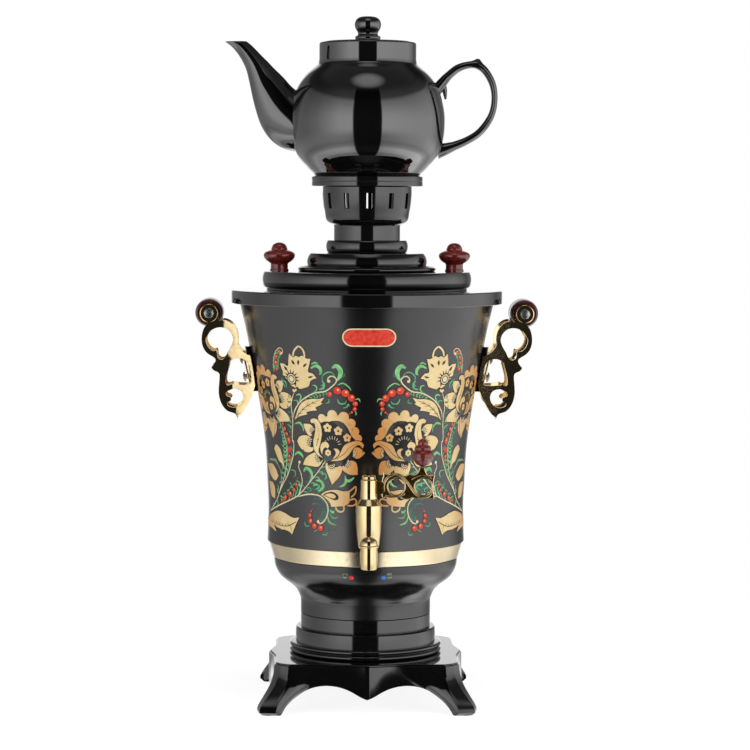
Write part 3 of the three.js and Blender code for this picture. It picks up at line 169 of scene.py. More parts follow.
def makeWorld():
    world = bpy.data.worlds.new("tent")
    bpy.context.scene.world = world
    world.use_nodes = True
    tree = world.node_tree
    tree.nodes.clear()
    way = addNode(tree, "ShaderNodeTexCoord").outputs["Generated"]
    around, upward = tentBrightness(tree, way, "around"), tentBrightness(tree, way, "upward")
    split = addNode(tree, "ShaderNodeSeparateXYZ", links={0: way})
    shares = []
    for name in ("horizon", "roof"):
        low, high = (math.sin(math.radians(degrees)) for degrees in tent[name])
        smooth = {"interpolation_type": "SMOOTHSTEP", "From Min": low, "From Max": high}
        shares.append(addNode(tree, "ShaderNodeMapRange", smooth, {"Value": split.outputs["Z"]}))
    side = addNode(tree, "ShaderNodeMix", {"data_type": "FLOAT"},
                   {0: shares[0].outputs[0], 2: tentBrightness(tree, way, "below"), 3: around})
    walls = addNode(tree, "ShaderNodeMath", {"operation": "MULTIPLY"}, {0: side.outputs[0], 1: upward})
    walls = addNode(tree, "ShaderNodeMix", {"data_type": "FLOAT", 3: tent["roofLight"]},
                    {0: shares[1].outputs[0], 2: walls.outputs[0]})
    facing = addNode(tree, "ShaderNodeVectorMath", {"operation": "DOT_PRODUCT", 1: tent["window"]}, {0: way})
    window = addNode(tree, "ShaderNodeMapRange", {
        "interpolation_type": "SMOOTHSTEP", "To Max": tent["windowLight"],
        "From Min": math.cos(math.radians(tent["windowEdge"])),
        "From Max": math.cos(math.radians(tent["windowCore"])),
    }, {"Value": facing.outputs["Value"]})
    both = addNode(tree, "ShaderNodeMath", {"operation": "ADD"}, {0: walls.outputs[0], 1: window.outputs[0]})
    light = addNode(tree, "ShaderNodeMath", {"operation": "MULTIPLY", 1: tent["peak"]}, {0: both.outputs[0]})
    # the camera sees plain white where the object and the floor end
    path = addNode(tree, "ShaderNodeLightPath")
    strength = addNode(tree, "ShaderNodeMix", {"data_type": "FLOAT", 3: 1.0},
                       {0: path.outputs["Is Camera Ray"], 2: light.outputs[0]})
    background = addNode(tree, "ShaderNodeBackground", {"Color": linear("#ffffff")},
                         {"Strength": strength.outputs[0]})
    addNode(tree, "ShaderNodeOutputWorld", links={"Surface": background.outputs[0]})


makeWorld()

# Finishes: "colours" run from low to high over clouds of "cloud" millimetres, drawn out by "stretch" along an
# axis; "roughness" is (low, high, millimetres across) and "relief" is (millimetres across, millimetres deep)
finishes = {
    # high gloss ABS, injection moulded: near black, mirror clear with a very faint orange peel
    "glossAbs": {
        "shader": {"IOR": 1.54, "Coat Weight": 1.0, "Coat Roughness": 0.03, "Coat IOR": 1.55},
        "colours": ("#050506", "#0a0a0b"), "cloud": 30, "roughness": (0.06, 0.11, 24),
        "relief": (2.4, 0.003),
    },
    # satin baked paint on steel: charcoal with a fine even grain, drawn a little coarse so that it shows
    "satinPaint": {
        "shader": {"IOR": 1.55, "Specular IOR Level": 1.0},
        "colours": ("#0b0b0b", "#101010"), "cloud": 1.1, "roughness": (0.22, 0.25, 18),
        "relief": (0.7, 0.004),
    },
    # black glaze on stoneware, fired: deep black under a glassy skin with slow waves
    "blackGlaze": {
        "shader": {"IOR": 1.54, "Specular IOR Level": 0.95, "Coat Weight": 1.0, "Coat Roughness": 0.02,
                   "Coat IOR": 1.68},
        "colours": ("#050404", "#080707"), "cloud": 26, "roughness": (0.02, 0.05, 14), "relief": (18, 0.012),
    },
    # gold coloured plating on brass, polished: warm mirror with fine wiping marks
    "polishedGold": {
        "shader": {"Metallic": 1.0},
        "colours": ("#eccf98", "#f6dfb0"), "cloud": 12, "roughness": (0.07, 0.13, 1.2), "relief": (6, 0.004),
    },
    # anodised aluminium foil, rolled: pale champagne, half bright
    "champagneFoil": {
        "shader": {"Metallic": 1.0},
        "colours": ("#efdcb4", "#f6e6c6"), "cloud": 16, "roughness": (0.16, 0.24, 3), "relief": (1.5, 0.003),
    },
    # gold plating darkened in the recesses of the casting: brown bronze, half dull
    "darkBronze": {
        "shader": {"Metallic": 0.9},
        "colours": ("#3a2a10", "#7a5f2c"), "cloud": 1.8, "roughness": (0.22, 0.38, 2.2),
        "relief": (0.9, 0.03),
    },
    # turned beech, stained dark red and lacquered: fine growth lines under a clear coat
    "lacqueredWoodUpright": {
        "shader": {"IOR": 1.5, "Coat Weight": 1.0, "Coat Roughness": 0.06, "Coat IOR": 1.55},
        "colours": ("#4a0d0a", "#78201a"), "cloud": 1.4, "stretch": (1, 1, 0.12),
        "roughness": (0.26, 0.36, 2), "relief": (1.4, 0.012),
    },
    "lacqueredWoodAcross": {
        "shader": {"IOR": 1.5, "Coat Weight": 1.0, "Coat Roughness": 0.06, "Coat IOR": 1.55},
        "colours": ("#2a0706", "#521310"), "cloud": 1.4, "stretch": (1, 0.12, 1),
        "roughness": (0.26, 0.36, 2), "relief": (1.4, 0.012),
    },
    # stainless steel, turned and tumbled: fine rings of tool marks
    "turnedSteel": {
        "shader": {"Metallic": 1.0},
        "colours": ("#a9abae", "#c9cbce"), "cloud": 3, "roughness": (0.2, 0.34, 0.8), "relief": (0.5, 0.006),
    },
    # moulded rubber: dull black, slightly dusty
    "mouldedRubber": {
        "shader": {"IOR": 1.52},
        "colours": ("#161616", "#222221"), "cloud": 4, "roughness": (0.68, 0.82, 2), "relief": (0.6, 0.02),
    },
    # textured ABS, spark eroded mould: the duller black of sockets and switches
    "texturedAbs": {
        "shader": {"IOR": 1.54},
        "colours": ("#101011", "#171718"), "cloud": 2, "roughness": (0.4, 0.52, 1.5), "relief": (0.5, 0.02),
    },
    # glass fibre board with a green solder mask, screen coated
    "solderMask": {
        "shader": {"IOR": 1.5},
        "colours": ("#174a2c", "#1f6038"), "cloud": 1.6, "roughness": (0.4, 0.5, 1), "relief": (0.8, 0.01),
    },
    # cartridge paper, matt and white, for the floor
    "whitePaper": {
        "shader": {"IOR": 1.45},
        "colours": ("#ececec", "#f2f2f2"), "cloud": 60, "roughness": (0.85, 0.95, 10), "relief": (0.7, 0.01),
    },
}
# tinted polycarbonate, moulded, with a lamp lit behind it: (low, high, glow, strength of the glow)
lensColours = {"redLens": ("#c00d20", "#e8283a", "#d0182a", 0.22),
               "blueLens": ("#0f5cb0", "#2f86e0", "#1c60b2", 0.2)}
for name, (low, high, glow, strength) in lensColours.items():
    finishes[name] = {
        "shader": {"IOR": 1.58, "Coat Weight": 0.6, "Coat Roughness": 0.03,
                   "Emission Color": linear(glow), "Emission Strength": strength},
        "colours": (low, high), "cloud": 1.2, "roughness": (0.08, 0.16, 1), "relief": (1, 0.004),
    }
# printed enamel inks, baked: flat colours with a slight tooth; (low, high, millimetres of cloud)
inkColours = {
    "goldInk": ("#eccf8e", "#f6e0ac", 7), "creamInk": ("#e6d3a2", "#f0e2bb", 6),
    "leafGreenInk": ("#5fae68", "#94dc8e", 5), "grassGreenInk": ("#37935c", "#74c48a", 5),
    "deepGreenInk": ("#2c5a48", "#4b7d69", 5), "berryRedInk": ("#c9281f", "#ee4f3a", 3),
    "sunYellowInk": ("#f0a850", "#ffd080", 3), "charcoalInk": ("#0f0e0d", "#1a1817", 5),
}
for name, (low, high, cloud) in inkColours.items():
    finishes[name] = {"shader": {"IOR": 1.5}, "colours": (low, high), "cloud": cloud,
                      "roughness": (0.34, 0.42, 4), "relief": (0.8, 0.005)}
finishes["goldInk"]["shader"]["Metallic"] = 0.15
# the gold ink's painted shade colour, a darker orange than the ink itself
finishes["goldInk"]["warmColour"] = "#d8924a"
# painted shade on the gold ink: a darker orange that stands in for the dark gap in front and the dimmer sides
# of the tent mirrored in it; (millimetres from the middle of the front, share of the shade colour)
paintedShadeBand = [(0, 1.0), (9, 0.95), (19, 0.42), (28, 0.06), (62, 0.06), (72, 0.55), (80, 0.8)]
paintedShadeReach = 80.0


def makeFinish(name):
    f = finishes[name]
    material = bpy.data.materials.new(name)
    material.use_nodes = True
    tree = material.node_tree
    tree.nodes.clear()
    place = addNode(tree, "ShaderNodeTexCoord").outputs["Object"]
    drawn = addNode(tree, "ShaderNodeMapping", {"Scale": f.get("stretch", (1, 1, 1))},
                    {"Vector": place}).outputs[0]
    lowRough, highRough, roughSize = f["roughness"]
    reliefSize, reliefDepth = f["relief"]
    # noise as wide as the size given, spread over the range given
    patterns = []
    for size, low, high, vector in ((f["cloud"], 0.0, 1.0, drawn), (roughSize, lowRough, highRough, place),
        (reliefSize, 0.0, 1.0, drawn)):
        noise = addNode(tree, "ShaderNodeTexNoise", {"Scale": 1000.0 / size, "Detail": 3.0},
                        {"Vector": vector})
        span = {"From Min": 0.3, "From Max": 0.7, "To Min": low, "To Max": high}
        spread = addNode(tree, "ShaderNodeMapRange", span, {"Value": noise.outputs["Fac"]})
        patterns.append(spread.outputs[0])
    low, high = (linear(c) for c in f["colours"])
    colour = addNode(tree, "ShaderNodeMix", {"data_type": "RGBA", 6: low, 7: high},
                     {0: patterns[0]}).outputs[2]
    # painted shade: the gold ink turns to the darker orange by distance from the middle of the front,
    # standing in for the dark reflections there and at the sides
    if "warmColour" in f:
        split = addNode(tree, "ShaderNodeSeparateXYZ", links={0: place})
        aside = addNode(tree, "ShaderNodeMath", {"operation": "ABSOLUTE"}, {0: split.outputs["X"]})
        spread = addNode(tree, "ShaderNodeMapRange", {"From Max": paintedShadeReach / 1000},
                         {"Value": aside.outputs[0]})
        ramp = addNode(tree, "ShaderNodeValToRGB", links={0: spread.outputs[0]})
        stops = ramp.color_ramp.elements
        stops.remove(stops[1])
        for i, (distance, share) in enumerate(paintedShadeBand):
            stop = stops[0] if i == 0 else stops.new(distance / paintedShadeReach)
            stop.color = (share, share, share, 1.0)
        stops[0].position = 0.0
        colour = addNode(tree, "ShaderNodeMix", {"data_type": "RGBA", 7: linear(f["warmColour"])},
                         {0: ramp.outputs["Color"], 6: colour}).outputs[2]
    relief = addNode(tree, "ShaderNodeBump", {"Distance": reliefDepth / 1000}, {"Height": patterns[2]})
    shader = addNode(tree, "ShaderNodeBsdfPrincipled", f["shader"],
                     {"Base Color": colour, "Roughness": patterns[1], "Normal": relief.outputs[0]})
    addNode(tree, "ShaderNodeOutputMaterial", links={"Surface": shader.outputs[0]})
    return material


finish = {name: makeFinish(name) for name in finishes}
print("materials made:", len(finish))

# floor: a white table; the camera sees it white with a share of its shading, gloss sees the tent through it
floorSettings = {"radius": 0.62, "shadingShare": 0.32, "whiteStrength": 1.31, "sides": 96}


def makeFloor():
    s = floorSettings
    material = finish["whitePaper"]
    tree = material.node_tree
    shader = next(n for n in tree.nodes if n.bl_idname == "ShaderNodeBsdfPrincipled")
    output = next(n for n in tree.nodes if n.bl_idname == "ShaderNodeOutputMaterial")
    path = addNode(tree, "ShaderNodeLightPath")
    seen = addNode(tree, "ShaderNodeMath", {"operation": "MAXIMUM"},
                   {0: path.outputs["Is Camera Ray"], 1: path.outputs["Is Transmission Ray"]})
    share = addNode(tree, "ShaderNodeMath", {"operation": "MULTIPLY", 1: 1.0 - s["shadingShare"]},
                    {0: seen.outputs[0]})
    white = addNode(tree, "ShaderNodeEmission", {"Color": linear("#ffffff"), "Strength": s["whiteStrength"]})
    paper = addNode(tree, "ShaderNodeMixShader",
                    links={0: share.outputs[0], 1: shader.outputs[0], 2: white.outputs[0]})
    through = addNode(tree, "ShaderNodeBsdfTransparent")
    whole = addNode(tree, "ShaderNodeMixShader",
                    links={0: path.outputs["Is Glossy Ray"], 1: paper.outputs[0], 2: through.outputs[0]})
    tree.links.new(whole.outputs[0], output.inputs["Surface"])
    bm = bmesh.new()
    bmesh.ops.create_circle(bm, cap_ends=True, segments=s["sides"], radius=s["radius"])
    mesh = bpy.data.meshes.new("floor")
    bm.to_mesh(mesh)
    bm.free()
    mesh.materials.append(material)
    floor = bpy.data.objects.new("floor", mesh)
    bpy.context.scene.collection.objects.link(floor)


makeFloor()


# mesh helpers, in millimetres
def smoothLine(points, perSpan=6, closed=False):
    # a curve through the points; a point with a third value of 1 is a corner
    places = [Vector(p[:2]) for p in points]
    corner = [len(p) > 2 for p in points]
    count = len(places)
    line = []
    for i in range(count if closed else count - 1):
        a, b = places[i], places[(i + 1) % count]
        before = places[(i - 1) % count] if (closed or i > 0) and not corner[i] else a
        after = places[(i + 2) % count] if (closed or i < count - 2) and not corner[(i + 1) % count] else b
        for k in range(perSpan):
            t = k / perSpan
            line.append(0.5 * (2 * a + (b - before) * t + (2 * before - 5 * a + 4 * b - after) * t ** 2
                               + (3 * a - before - 3 * b + after) * t ** 3))
    if not closed:
        line.append(places[-1])
    return [tuple(p) for p in line]


def arcLine(centre, radius, start, end, count=6):
    # a round stretch, from one angle to another in degrees
    angles = [math.radians(start + (end - start) * i / count) for i in range(count + 1)]
    return [(centre[0] + radius * math.cos(a), centre[1] + radius * math.sin(a)) for a in angles]


def heading(line, i):
    # the way that a flat line runs at its point i
    ahead, back = line[min(i + 1, len(line) - 1)], line[max(i - 1, 0)]
    return Vector((ahead[0] - back[0], ahead[1] - back[1]))


def raised(line, by):
    return [(r, z + by) for r, z in line]


def lookUp(pairs, value):
    # straight lines between (value, result) pairs
    if pairs[0][0] > pairs[-1][0]:
        pairs = pairs[::-1]
    if value <= pairs[0][0]:
        return pairs[0][1]
    for (a, fa), (b, fb) in zip(pairs, pairs[1:]):
        if value <= b:
            return fa + (fb - fa) * (value - a) / (b - a)
    return pairs[-1][1]


def everything(bm):
    return bm.verts[:] + bm.edges[:] + bm.faces[:]


def loopEdges(bm, verts):
    return [bm.edges.new((verts[i], verts[(i + 1) % len(verts)])) for i in range(len(verts))]


def steepEdges(bm, angle):
    return [e for e in bm.edges if len(e.link_faces) == 2 and e.calc_face_angle(0) > math.radians(angle)]


def roundEdges(bm, edges, width, segments=3):
    bmesh.ops.bevel(bm, geom=edges, offset=width, offset_type="OFFSET", affect="EDGES",
                    segments=segments, profile=0.5, material=-1, clamp_overlap=True)


def spun(profile, steps=96, rounding=0.0):
    # a closed profile of (radius, height) turned about the upright axis
    bm = bmesh.new()
    verts = [bm.verts.new((r, 0, z)) for r, z in profile]
    edges = [bm.edges.new(pair) for pair in zip(verts, verts[1:])]
    if not (profile[0][0] == 0 and profile[-1][0] == 0):
        edges.append(bm.edges.new((verts[-1], verts[0])))
    bmesh.ops.spin(bm, geom=verts + edges, cent=(0, 0, 0), axis=(0, 0, 1), angle=2 * math.pi, steps=steps,
                   use_merge=True)
    bmesh.ops.remove_doubles(bm, verts=bm.verts, dist=1e-4)
    bmesh.ops.recalc_face_normals(bm, faces=bm.faces)
    if rounding:
        roundEdges(bm, steepEdges(bm, 32), rounding)
    return bm


def move(bm, x=0.0, y=0.0, z=0.0):
    bmesh.ops.translate(bm, verts=bm.verts, vec=(x, y, z))
    return bm


def centred(bm):
    # from the vessel's own axis to its place in the frame
    return move(bm, y=axisY)


def turn(bm, degrees, axis):
    bmesh.ops.rotate(bm, verts=bm.verts, cent=(0, 0, 0), matrix=Matrix.Rotation(math.radians(degrees), 3,
        axis))
    return bm


def merged(*parts):
    # several shapes in one mesh
    whole = parts[0]
    for part in parts[1:]:
        mesh = bpy.data.meshes.new("part")
        part.to_mesh(mesh)
        part.free()
        whole.from_mesh(mesh)
        bpy.data.meshes.remove(mesh)
    return whole


def boxShape(low, high, rounding, segments=3):
    bm = bmesh.new()
    bmesh.ops.create_cube(bm, size=1)
    bmesh.ops.scale(bm, verts=bm.verts, vec=[h - l for l, h in zip(low, high)])
    move(bm, *[(l + h) / 2 for l, h in zip(low, high)])
    roundEdges(bm, steepEdges(bm, 32), rounding, segments)
    return bm


def plate(outline, holes, thickness, rounding):
    # a flat plate drawn in X and Z with holes, as thick as given along Y, about Y = 0
    bm = bmesh.new()
    edges = []
    for loop in [outline] + list(holes):
        edges += loopEdges(bm, [bm.verts.new((x, -thickness / 2, z)) for x, z in loop])
    filled = bmesh.ops.triangle_fill(bm, use_beauty=True, edges=edges)
    faces = [g for g in filled["geom"] if isinstance(g, bmesh.types.BMFace)]
    grown = bmesh.ops.extrude_face_region(bm, geom=faces)["geom"]
    bmesh.ops.translate(bm, verts=[g for g in grown if isinstance(g, bmesh.types.BMVert)],
                        vec=(0, thickness, 0))
    bmesh.ops.recalc_face_normals(bm, faces=bm.faces)
    rims = [e for e in steepEdges(bm, 60) if abs(e.verts[0].co.y - e.verts[1].co.y) < 1e-4]
    roundEdges(bm, rims, rounding, 2)
    return bm


def swept(rings, closedEnds=True):
    # a skin over rings of points: a circle laid on the first ring and drawn out from ring to ring
    bm = bmesh.new()
    count = len(rings[0])
    ring = list(bmesh.ops.create_circle(bm, cap_ends=False, segments=count, radius=1)["verts"])
    firstEdges = edges = list(bm.edges)
    for vert, place in zip(ring, rings[0]):
        vert.co = place
    for places in rings[1:]:
        grown = bmesh.ops.extrude_edge_only(bm, edges=edges)["geom"]
        fresh = {g for g in grown if isinstance(g, bmesh.types.BMVert)}
        ring = [next(e.other_vert(v) for e in v.link_edges if e.other_vert(v) in fresh) for v in ring]
        for vert, place in zip(ring, places):
            vert.co = place
        edges = [bm.edges.get((ring[i], ring[(i + 1) % count])) for i in range(count)]
    if closedEnds:
        bmesh.ops.holes_fill(bm, edges=firstEdges + edges, sides=0)
    bmesh.ops.recalc_face_normals(bm, faces=bm.faces)
    return bm


def ovalRing(centre, out, halfOut, side, halfSide, count, power=1.0):
    # points of an oval round a centre, out and side being its unit directions
    ring = []
    for k in range(count):
        a = 2 * math.pi * k / count
        c, s = math.cos(a), math.sin(a)
        c = math.copysign(abs(c) ** power, c)
        s = math.copysign(abs(s) ** power, s)
        ring.append(Vector(centre) + Vector(out) * halfOut * c + Vector(side) * halfSide * s)
    return ring


def tube(points, radius, count=8, taper=None):
    # a round rod along points in space
    rings = []
    last = len(points) - 1
    for i, point in enumerate(points):
        along = (Vector(points[min(i + 1, last)]) - Vector(points[max(i - 1, 0)])).normalized()
        side = along.cross(Vector((0, 1, 0)))
        side = side.normalized() if side.length > 1e-6 else Vector((1, 0, 0))
        out = side.cross(along).normalized()
        size = radius * (taper(i / last) if taper else 1.0)
        rings.append(ovalRing(point, out, size, side, size, count))
    return swept(rings)


def addPiece(name, bm, finishName, body, slotName, stands=(), sharp=38, flat=False):
    bmesh.ops.scale(bm, verts=bm.verts, vec=(0.001, 0.001, 0.001))
    mesh = bpy.data.meshes.new(name)
    bm.to_mesh(mesh)
    bm.free()
    mesh.materials.append(finish[finishName])
    mesh.shade_smooth()
    mesh.set_sharp_from_angle(angle=math.radians(sharp))
    piece = bpy.data.objects.new(name, mesh)
    bpy.context.scene.collection.objects.link(piece)
    if not flat:
        weighted = piece.modifiers.new("weighted", "WEIGHTED_NORMAL")
        weighted.keep_sharp = True
    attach(piece, body)
    if stands:
        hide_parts(*stands)
    return piece


# base casting: a plate with a prow on each side, an arched apron and four splayed legs with rounded toes
base = {
    "top": 36.0, "half": 67.6, "prow": 72.6, "corner": 10.2, "wall": 3.0, "lip": 1.6,
    # the leg's outer side as (height, how far it stands out), and the apron's lower edge as (aside, height)
    "splay": [(34.4, 0), (30.0, 0.4), (26.0, 1.2), (22.0, 2.5), (18.0, 4.4), (14.0, 6.8), (10.0, 9.4),
              (7.0, 11.2), (5.0, 12.2), (3.4, 12.7), (2.0, 12.4), (1.0, 11.7), (0.4, 10.7), (0.2, 9.6)],
    "arch": [(0, 10.6), (5, 12.6), (10.5, 15.8), (17, 18.6), (24, 20.2), (31, 20.5), (38, 19.4),
             (44.5, 17.0), (50.5, 13.2), (55.5, 9.0), (59.0, 5.4), (61.2, 2.4), (62.4, 0.5)],
    # the plate's edge, with a fine groove under it: (how far in, height)
    "edge": [(1.9, 36.0), (1.1, 35.75), (0.9, 35.4), (0.9, 34.9), (1.5, 34.75), (0.25, 34.55)],
    # shares of the way from prow to leg ridge: the blunt nose, the prow's reach, where leg and toe start
    "noseShare": 0.016, "prowShare": 0.5, "legShare": 0.55, "toeShare": 0.86, "prowPower": 1.18,
    # the ridge's share of the splay and the wall's turn there in degrees; the corner's bulge and roundness
    "ridgeShare": 0.7, "ridgeTurn": 22.5, "bulge": (0.09, 0.5), "bulgeRate": 1.3, "cornerShare": 0.35,
    "rows": 16, "columns": 26, "cornerColumns": 5,
    "padHeight": 1.5, "padRounding": 0.35,
    "cover": [(0, 31.0), (46.7, 31.0), (46.7, 33.0), (0, 33.0)], "coverRounding": 0.4,
}
archCurve = smoothLine(base["arch"], 8)
splayCurve = smoothLine(base["splay"], 6)
toeHeight = base["splay"][-1][0]


def pastShare(share, start):
    # how far a share lies between start and 1
    return max(0.0, min(1.0, (share - start) / (1 - start)))


def rowHeight(low, row):
    top = base["top"] - base["lip"]
    return top + (low - top) * row / base["rows"]


def apronColumn(share):
    # a column of the front's right half, from lip to lower edge; share runs from the prow to the ridge
    b = base
    ridge = b["half"] - b["corner"]
    along = min(1.0, share / b["toeShare"]) * (len(archCurve) - 1)
    k = min(int(along), len(archCurve) - 2)
    low = Vector(archCurve[k]).lerp(Vector(archCurve[k + 1]), along - k)
    if share > b["toeShare"]:
        reach = ridge + b["ridgeShare"] * lookUp(splayCurve, toeHeight)
        low = Vector((low.x + (reach - low.x) * pastShare(share, b["toeShare"]), toeHeight))
    near = max(0.0, 1 - max(share, b["noseShare"]) / b["prowShare"])
    top = Vector((share * ridge, b["half"] + (b["prow"] - b["half"]) * near ** b["prowPower"]))
    blend = pastShare(share, b["legShare"])
    blend = blend * blend * (3 - 2 * blend)
    lowOut = lookUp(splayCurve, low.y)
    column = []
    for row in range(b["rows"] + 1):
        height = rowHeight(low.y, row)
        out = lookUp(splayCurve, height)
        drift = out / lowOut if lowOut > 0.01 else row / b["rows"]
        column.append(Vector((top.x + (low.x - top.x) * drift, -(top.y + out * blend), height)))
    return column


def cornerColumn(share):
    # across the cut corner, from the front's ridge to the middle of the corner
    b = base
    column = []
    for row in range(b["rows"] + 1):
        height = rowHeight(toeHeight, row)
        out = lookUp(splayCurve, height)
        ridge = Vector((b["half"] - b["corner"] + b["ridgeShare"] * out, b["half"] + out))
        # the corner is cut flat at the plate and rounds out towards the toe
        flat, full = b["bulge"]
        bulge = flat + (full - flat) * min(1.0, row / b["rows"] * b["bulgeRate"]) ** 2
        middle = Vector([(ridge.x + ridge.y) / 2 + bulge * b["corner"]] * 2)
        around = math.sin(share * math.pi / 2) * b["cornerShare"] + share * (1 - b["cornerShare"])
        spot = ridge.lerp(middle, around)
        column.append(Vector((spot.x, -spot.y, height)))
    return column


def baseRings(eighth):
    # the other half of the quarter is the mirror image in the corner's diagonal
    quarter = eighth + [[Vector((-p.y, -p.x, p.z)) for p in column] for column in reversed(eighth[1:-1])]
    columns = []
    for k in range(4):
        aroundQuarter = Matrix.Rotation(math.radians(90 * k), 3, "Z")
        columns += [[aroundQuarter @ p for p in column] for column in quarter]
    return [[column[row] for column in columns] for row in range(base["rows"] + 1)]


def baseCasting():
    b = base
    shares = [i / b["columns"] for i in range(b["columns"] + 1)]
    shares = sorted(shares + [b["noseShare"], 2 * b["noseShare"]])
    cornerShares = [i / b["cornerColumns"] for i in range(1, b["cornerColumns"] + 1)]
    outer = [apronColumn(share) for share in shares] + [cornerColumn(share) for share in cornerShares]
    # the wall's inner face lies level with the outer one, so that nothing hangs below the toes and arches
    turns = [b["ridgeTurn"] * pastShare(share, b["toeShare"]) for share in shares]
    turns += [b["ridgeTurn"] * (1 + share) for share in cornerShares]
    inner = []
    for column, degrees in zip(outer, turns):
        inward = Vector((-math.sin(math.radians(degrees)), math.cos(math.radians(degrees)), 0)) * b["wall"]
        inner.append([p + inward for p in column])
    rings = baseRings(outer)
    edge = []
    for inset, height in b["edge"]:
        kept = 1 - inset / b["half"]
        edge.append([Vector((p.x * kept, p.y * kept, height)) for p in rings[0]])
    bm = swept(edge + rings + baseRings(inner)[::-1], closedEnds=False)
    bmesh.ops.holes_fill(bm, edges=[e for e in bm.edges if len(e.link_faces) == 1], sides=0)
    bmesh.ops.recalc_face_normals(bm, faces=bm.faces)
    return bm


def makeBase():
    b = base
    casting = centred(baseCasting())
    addPiece("baseCasting", casting, "glossAbs", "vessel", "black_plastic", ["base_casting"], sharp=30)
    for name in ("front_left", "front_right", "rear_left", "rear_right"):
        low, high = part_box("foot_pad_" + name)
        middle, radius = (low + high) * 500, (high.x - low.x) * 500
        outline = [(0, 0), (radius, 0), (radius, b["padHeight"]), (0, b["padHeight"])]
        pad = move(spun(outline, 40, b["padRounding"]), middle.x, middle.y)
        addPiece("footPad_" + name, pad, "mouldedRubber", "vessel", "rubber", ["foot_pad_" + name])
    cover = centred(spun(b["cover"], 72, b["coverRounding"]))
    addPiece("bottomCover", cover, "texturedAbs", "vessel", "black_plastic", ["bottom_cover"])


makeBase()
print("base made")

# collar under the vessel: two beads, then a step ring, a groove and a top ring
collar = {
    "foot": 36.0, "inside": 45.8, "bead": 57.0, "beadHeight": 3.9, "beadGap": 0.08, "beadTurn": 84,
    "upper": [(52.5, 43.9), (52.65, 49.8), (52.4, 53.9), (51.5, 54.8), (49.0, 54.9), (47.9, 55.0),
              (47.9, 55.6), (48.8, 55.7), (48.8, 64.7), (48.4, 65.0), (45.8, 65.0)],
    "rounding": 0.12,
}


def makeCollar():
    c = collar
    half = c["beadHeight"] / 2
    profile = [(c["inside"], c["foot"])]
    for i in range(2):
        middle = c["foot"] + c["beadHeight"] * (i + 0.5)
        profile += arcLine((c["bead"] - half, middle), half - c["beadGap"], -c["beadTurn"], c["beadTurn"], 8)
    ring = centred(spun(profile + c["upper"], rounding=c["rounding"]))
    addPiece("baseCollar", ring, "glossAbs", "vessel", "black_plastic", ["base_collar"])


makeCollar()

# lower housing: neck and bowl in satin paint with a spigot for the tank, and a box at the back
housing = {
    "outline": [(48.6, 65.2), (48.7, 75), (49.6, 78), (50.9, 81), (52.9, 84), (56.0, 87), (60.2, 90),
                (63.7, 93), (65.9, 96), (67.3, 99), (68.2, 102), (68.7, 106.9)],
    "spigot": [(66.0, 106.95), (66.0, 119.4), (63.8, 119.4)], "wall": 2.2, "rounding": 0.15,
    "box": ((-30.0, 40.0, 65.8), (30.0, 58.0, 87.8)), "boxRounding": 1.6,
}
band = {"profile": [(66.4, 107.3), (69.0, 107.3), (69.45, 108.0), (72.5, 118.6), (72.1, 119.4),
                    (66.4, 119.4)], "rounding": 0.2}


def makeHousing():
    h = housing
    outer = smoothLine(h["outline"], 3)
    inner = [(r - h["wall"], z) for r, z in reversed(outer)]
    shell = spun(outer + h["spigot"] + inner[1:], 112, h["rounding"])
    whole = centred(merged(shell, boxShape(*h["box"], h["boxRounding"], 4)))
    addPiece("lowerHousing", whole, "satinPaint", "vessel", "black_paint", ["lower_housing"])
    ring = centred(spun(band["profile"], 112, band["rounding"]))
    addPiece("goldBand", ring, "champagneFoil", "vessel", "polished_brass", ["gold_band"])


makeHousing()
print("housing made")

tank = {
    "outline": [(73.7, 119.6), (73.2, 132), (73.0, 147), (73.7, 162), (75.5, 192), (79.8, 222), (85.0, 250),
                (89.9, 276), (92.7, 288), (94.6, 296), (96.2, 303.9)],
    "wall": 1.5,
}
tankCurve = smoothLine(tank["outline"], 5)
tankHeights = [(height, radius) for radius, height in tankCurve]


def tankRadius(z):
    return lookUp(tankHeights, z)


def makeTank():
    foot = tank["outline"][0][1]
    floor = foot + tank["wall"]
    inner = [(r - tank["wall"], max(z, floor)) for r, z in reversed(tankCurve)]
    shell = centred(spun(tankCurve + inner + [(0, floor), (0, foot)], 128))
    addPiece("tankShell", shell, "satinPaint", "vessel", "black_paint", ["tank_shell"])


makeTank()

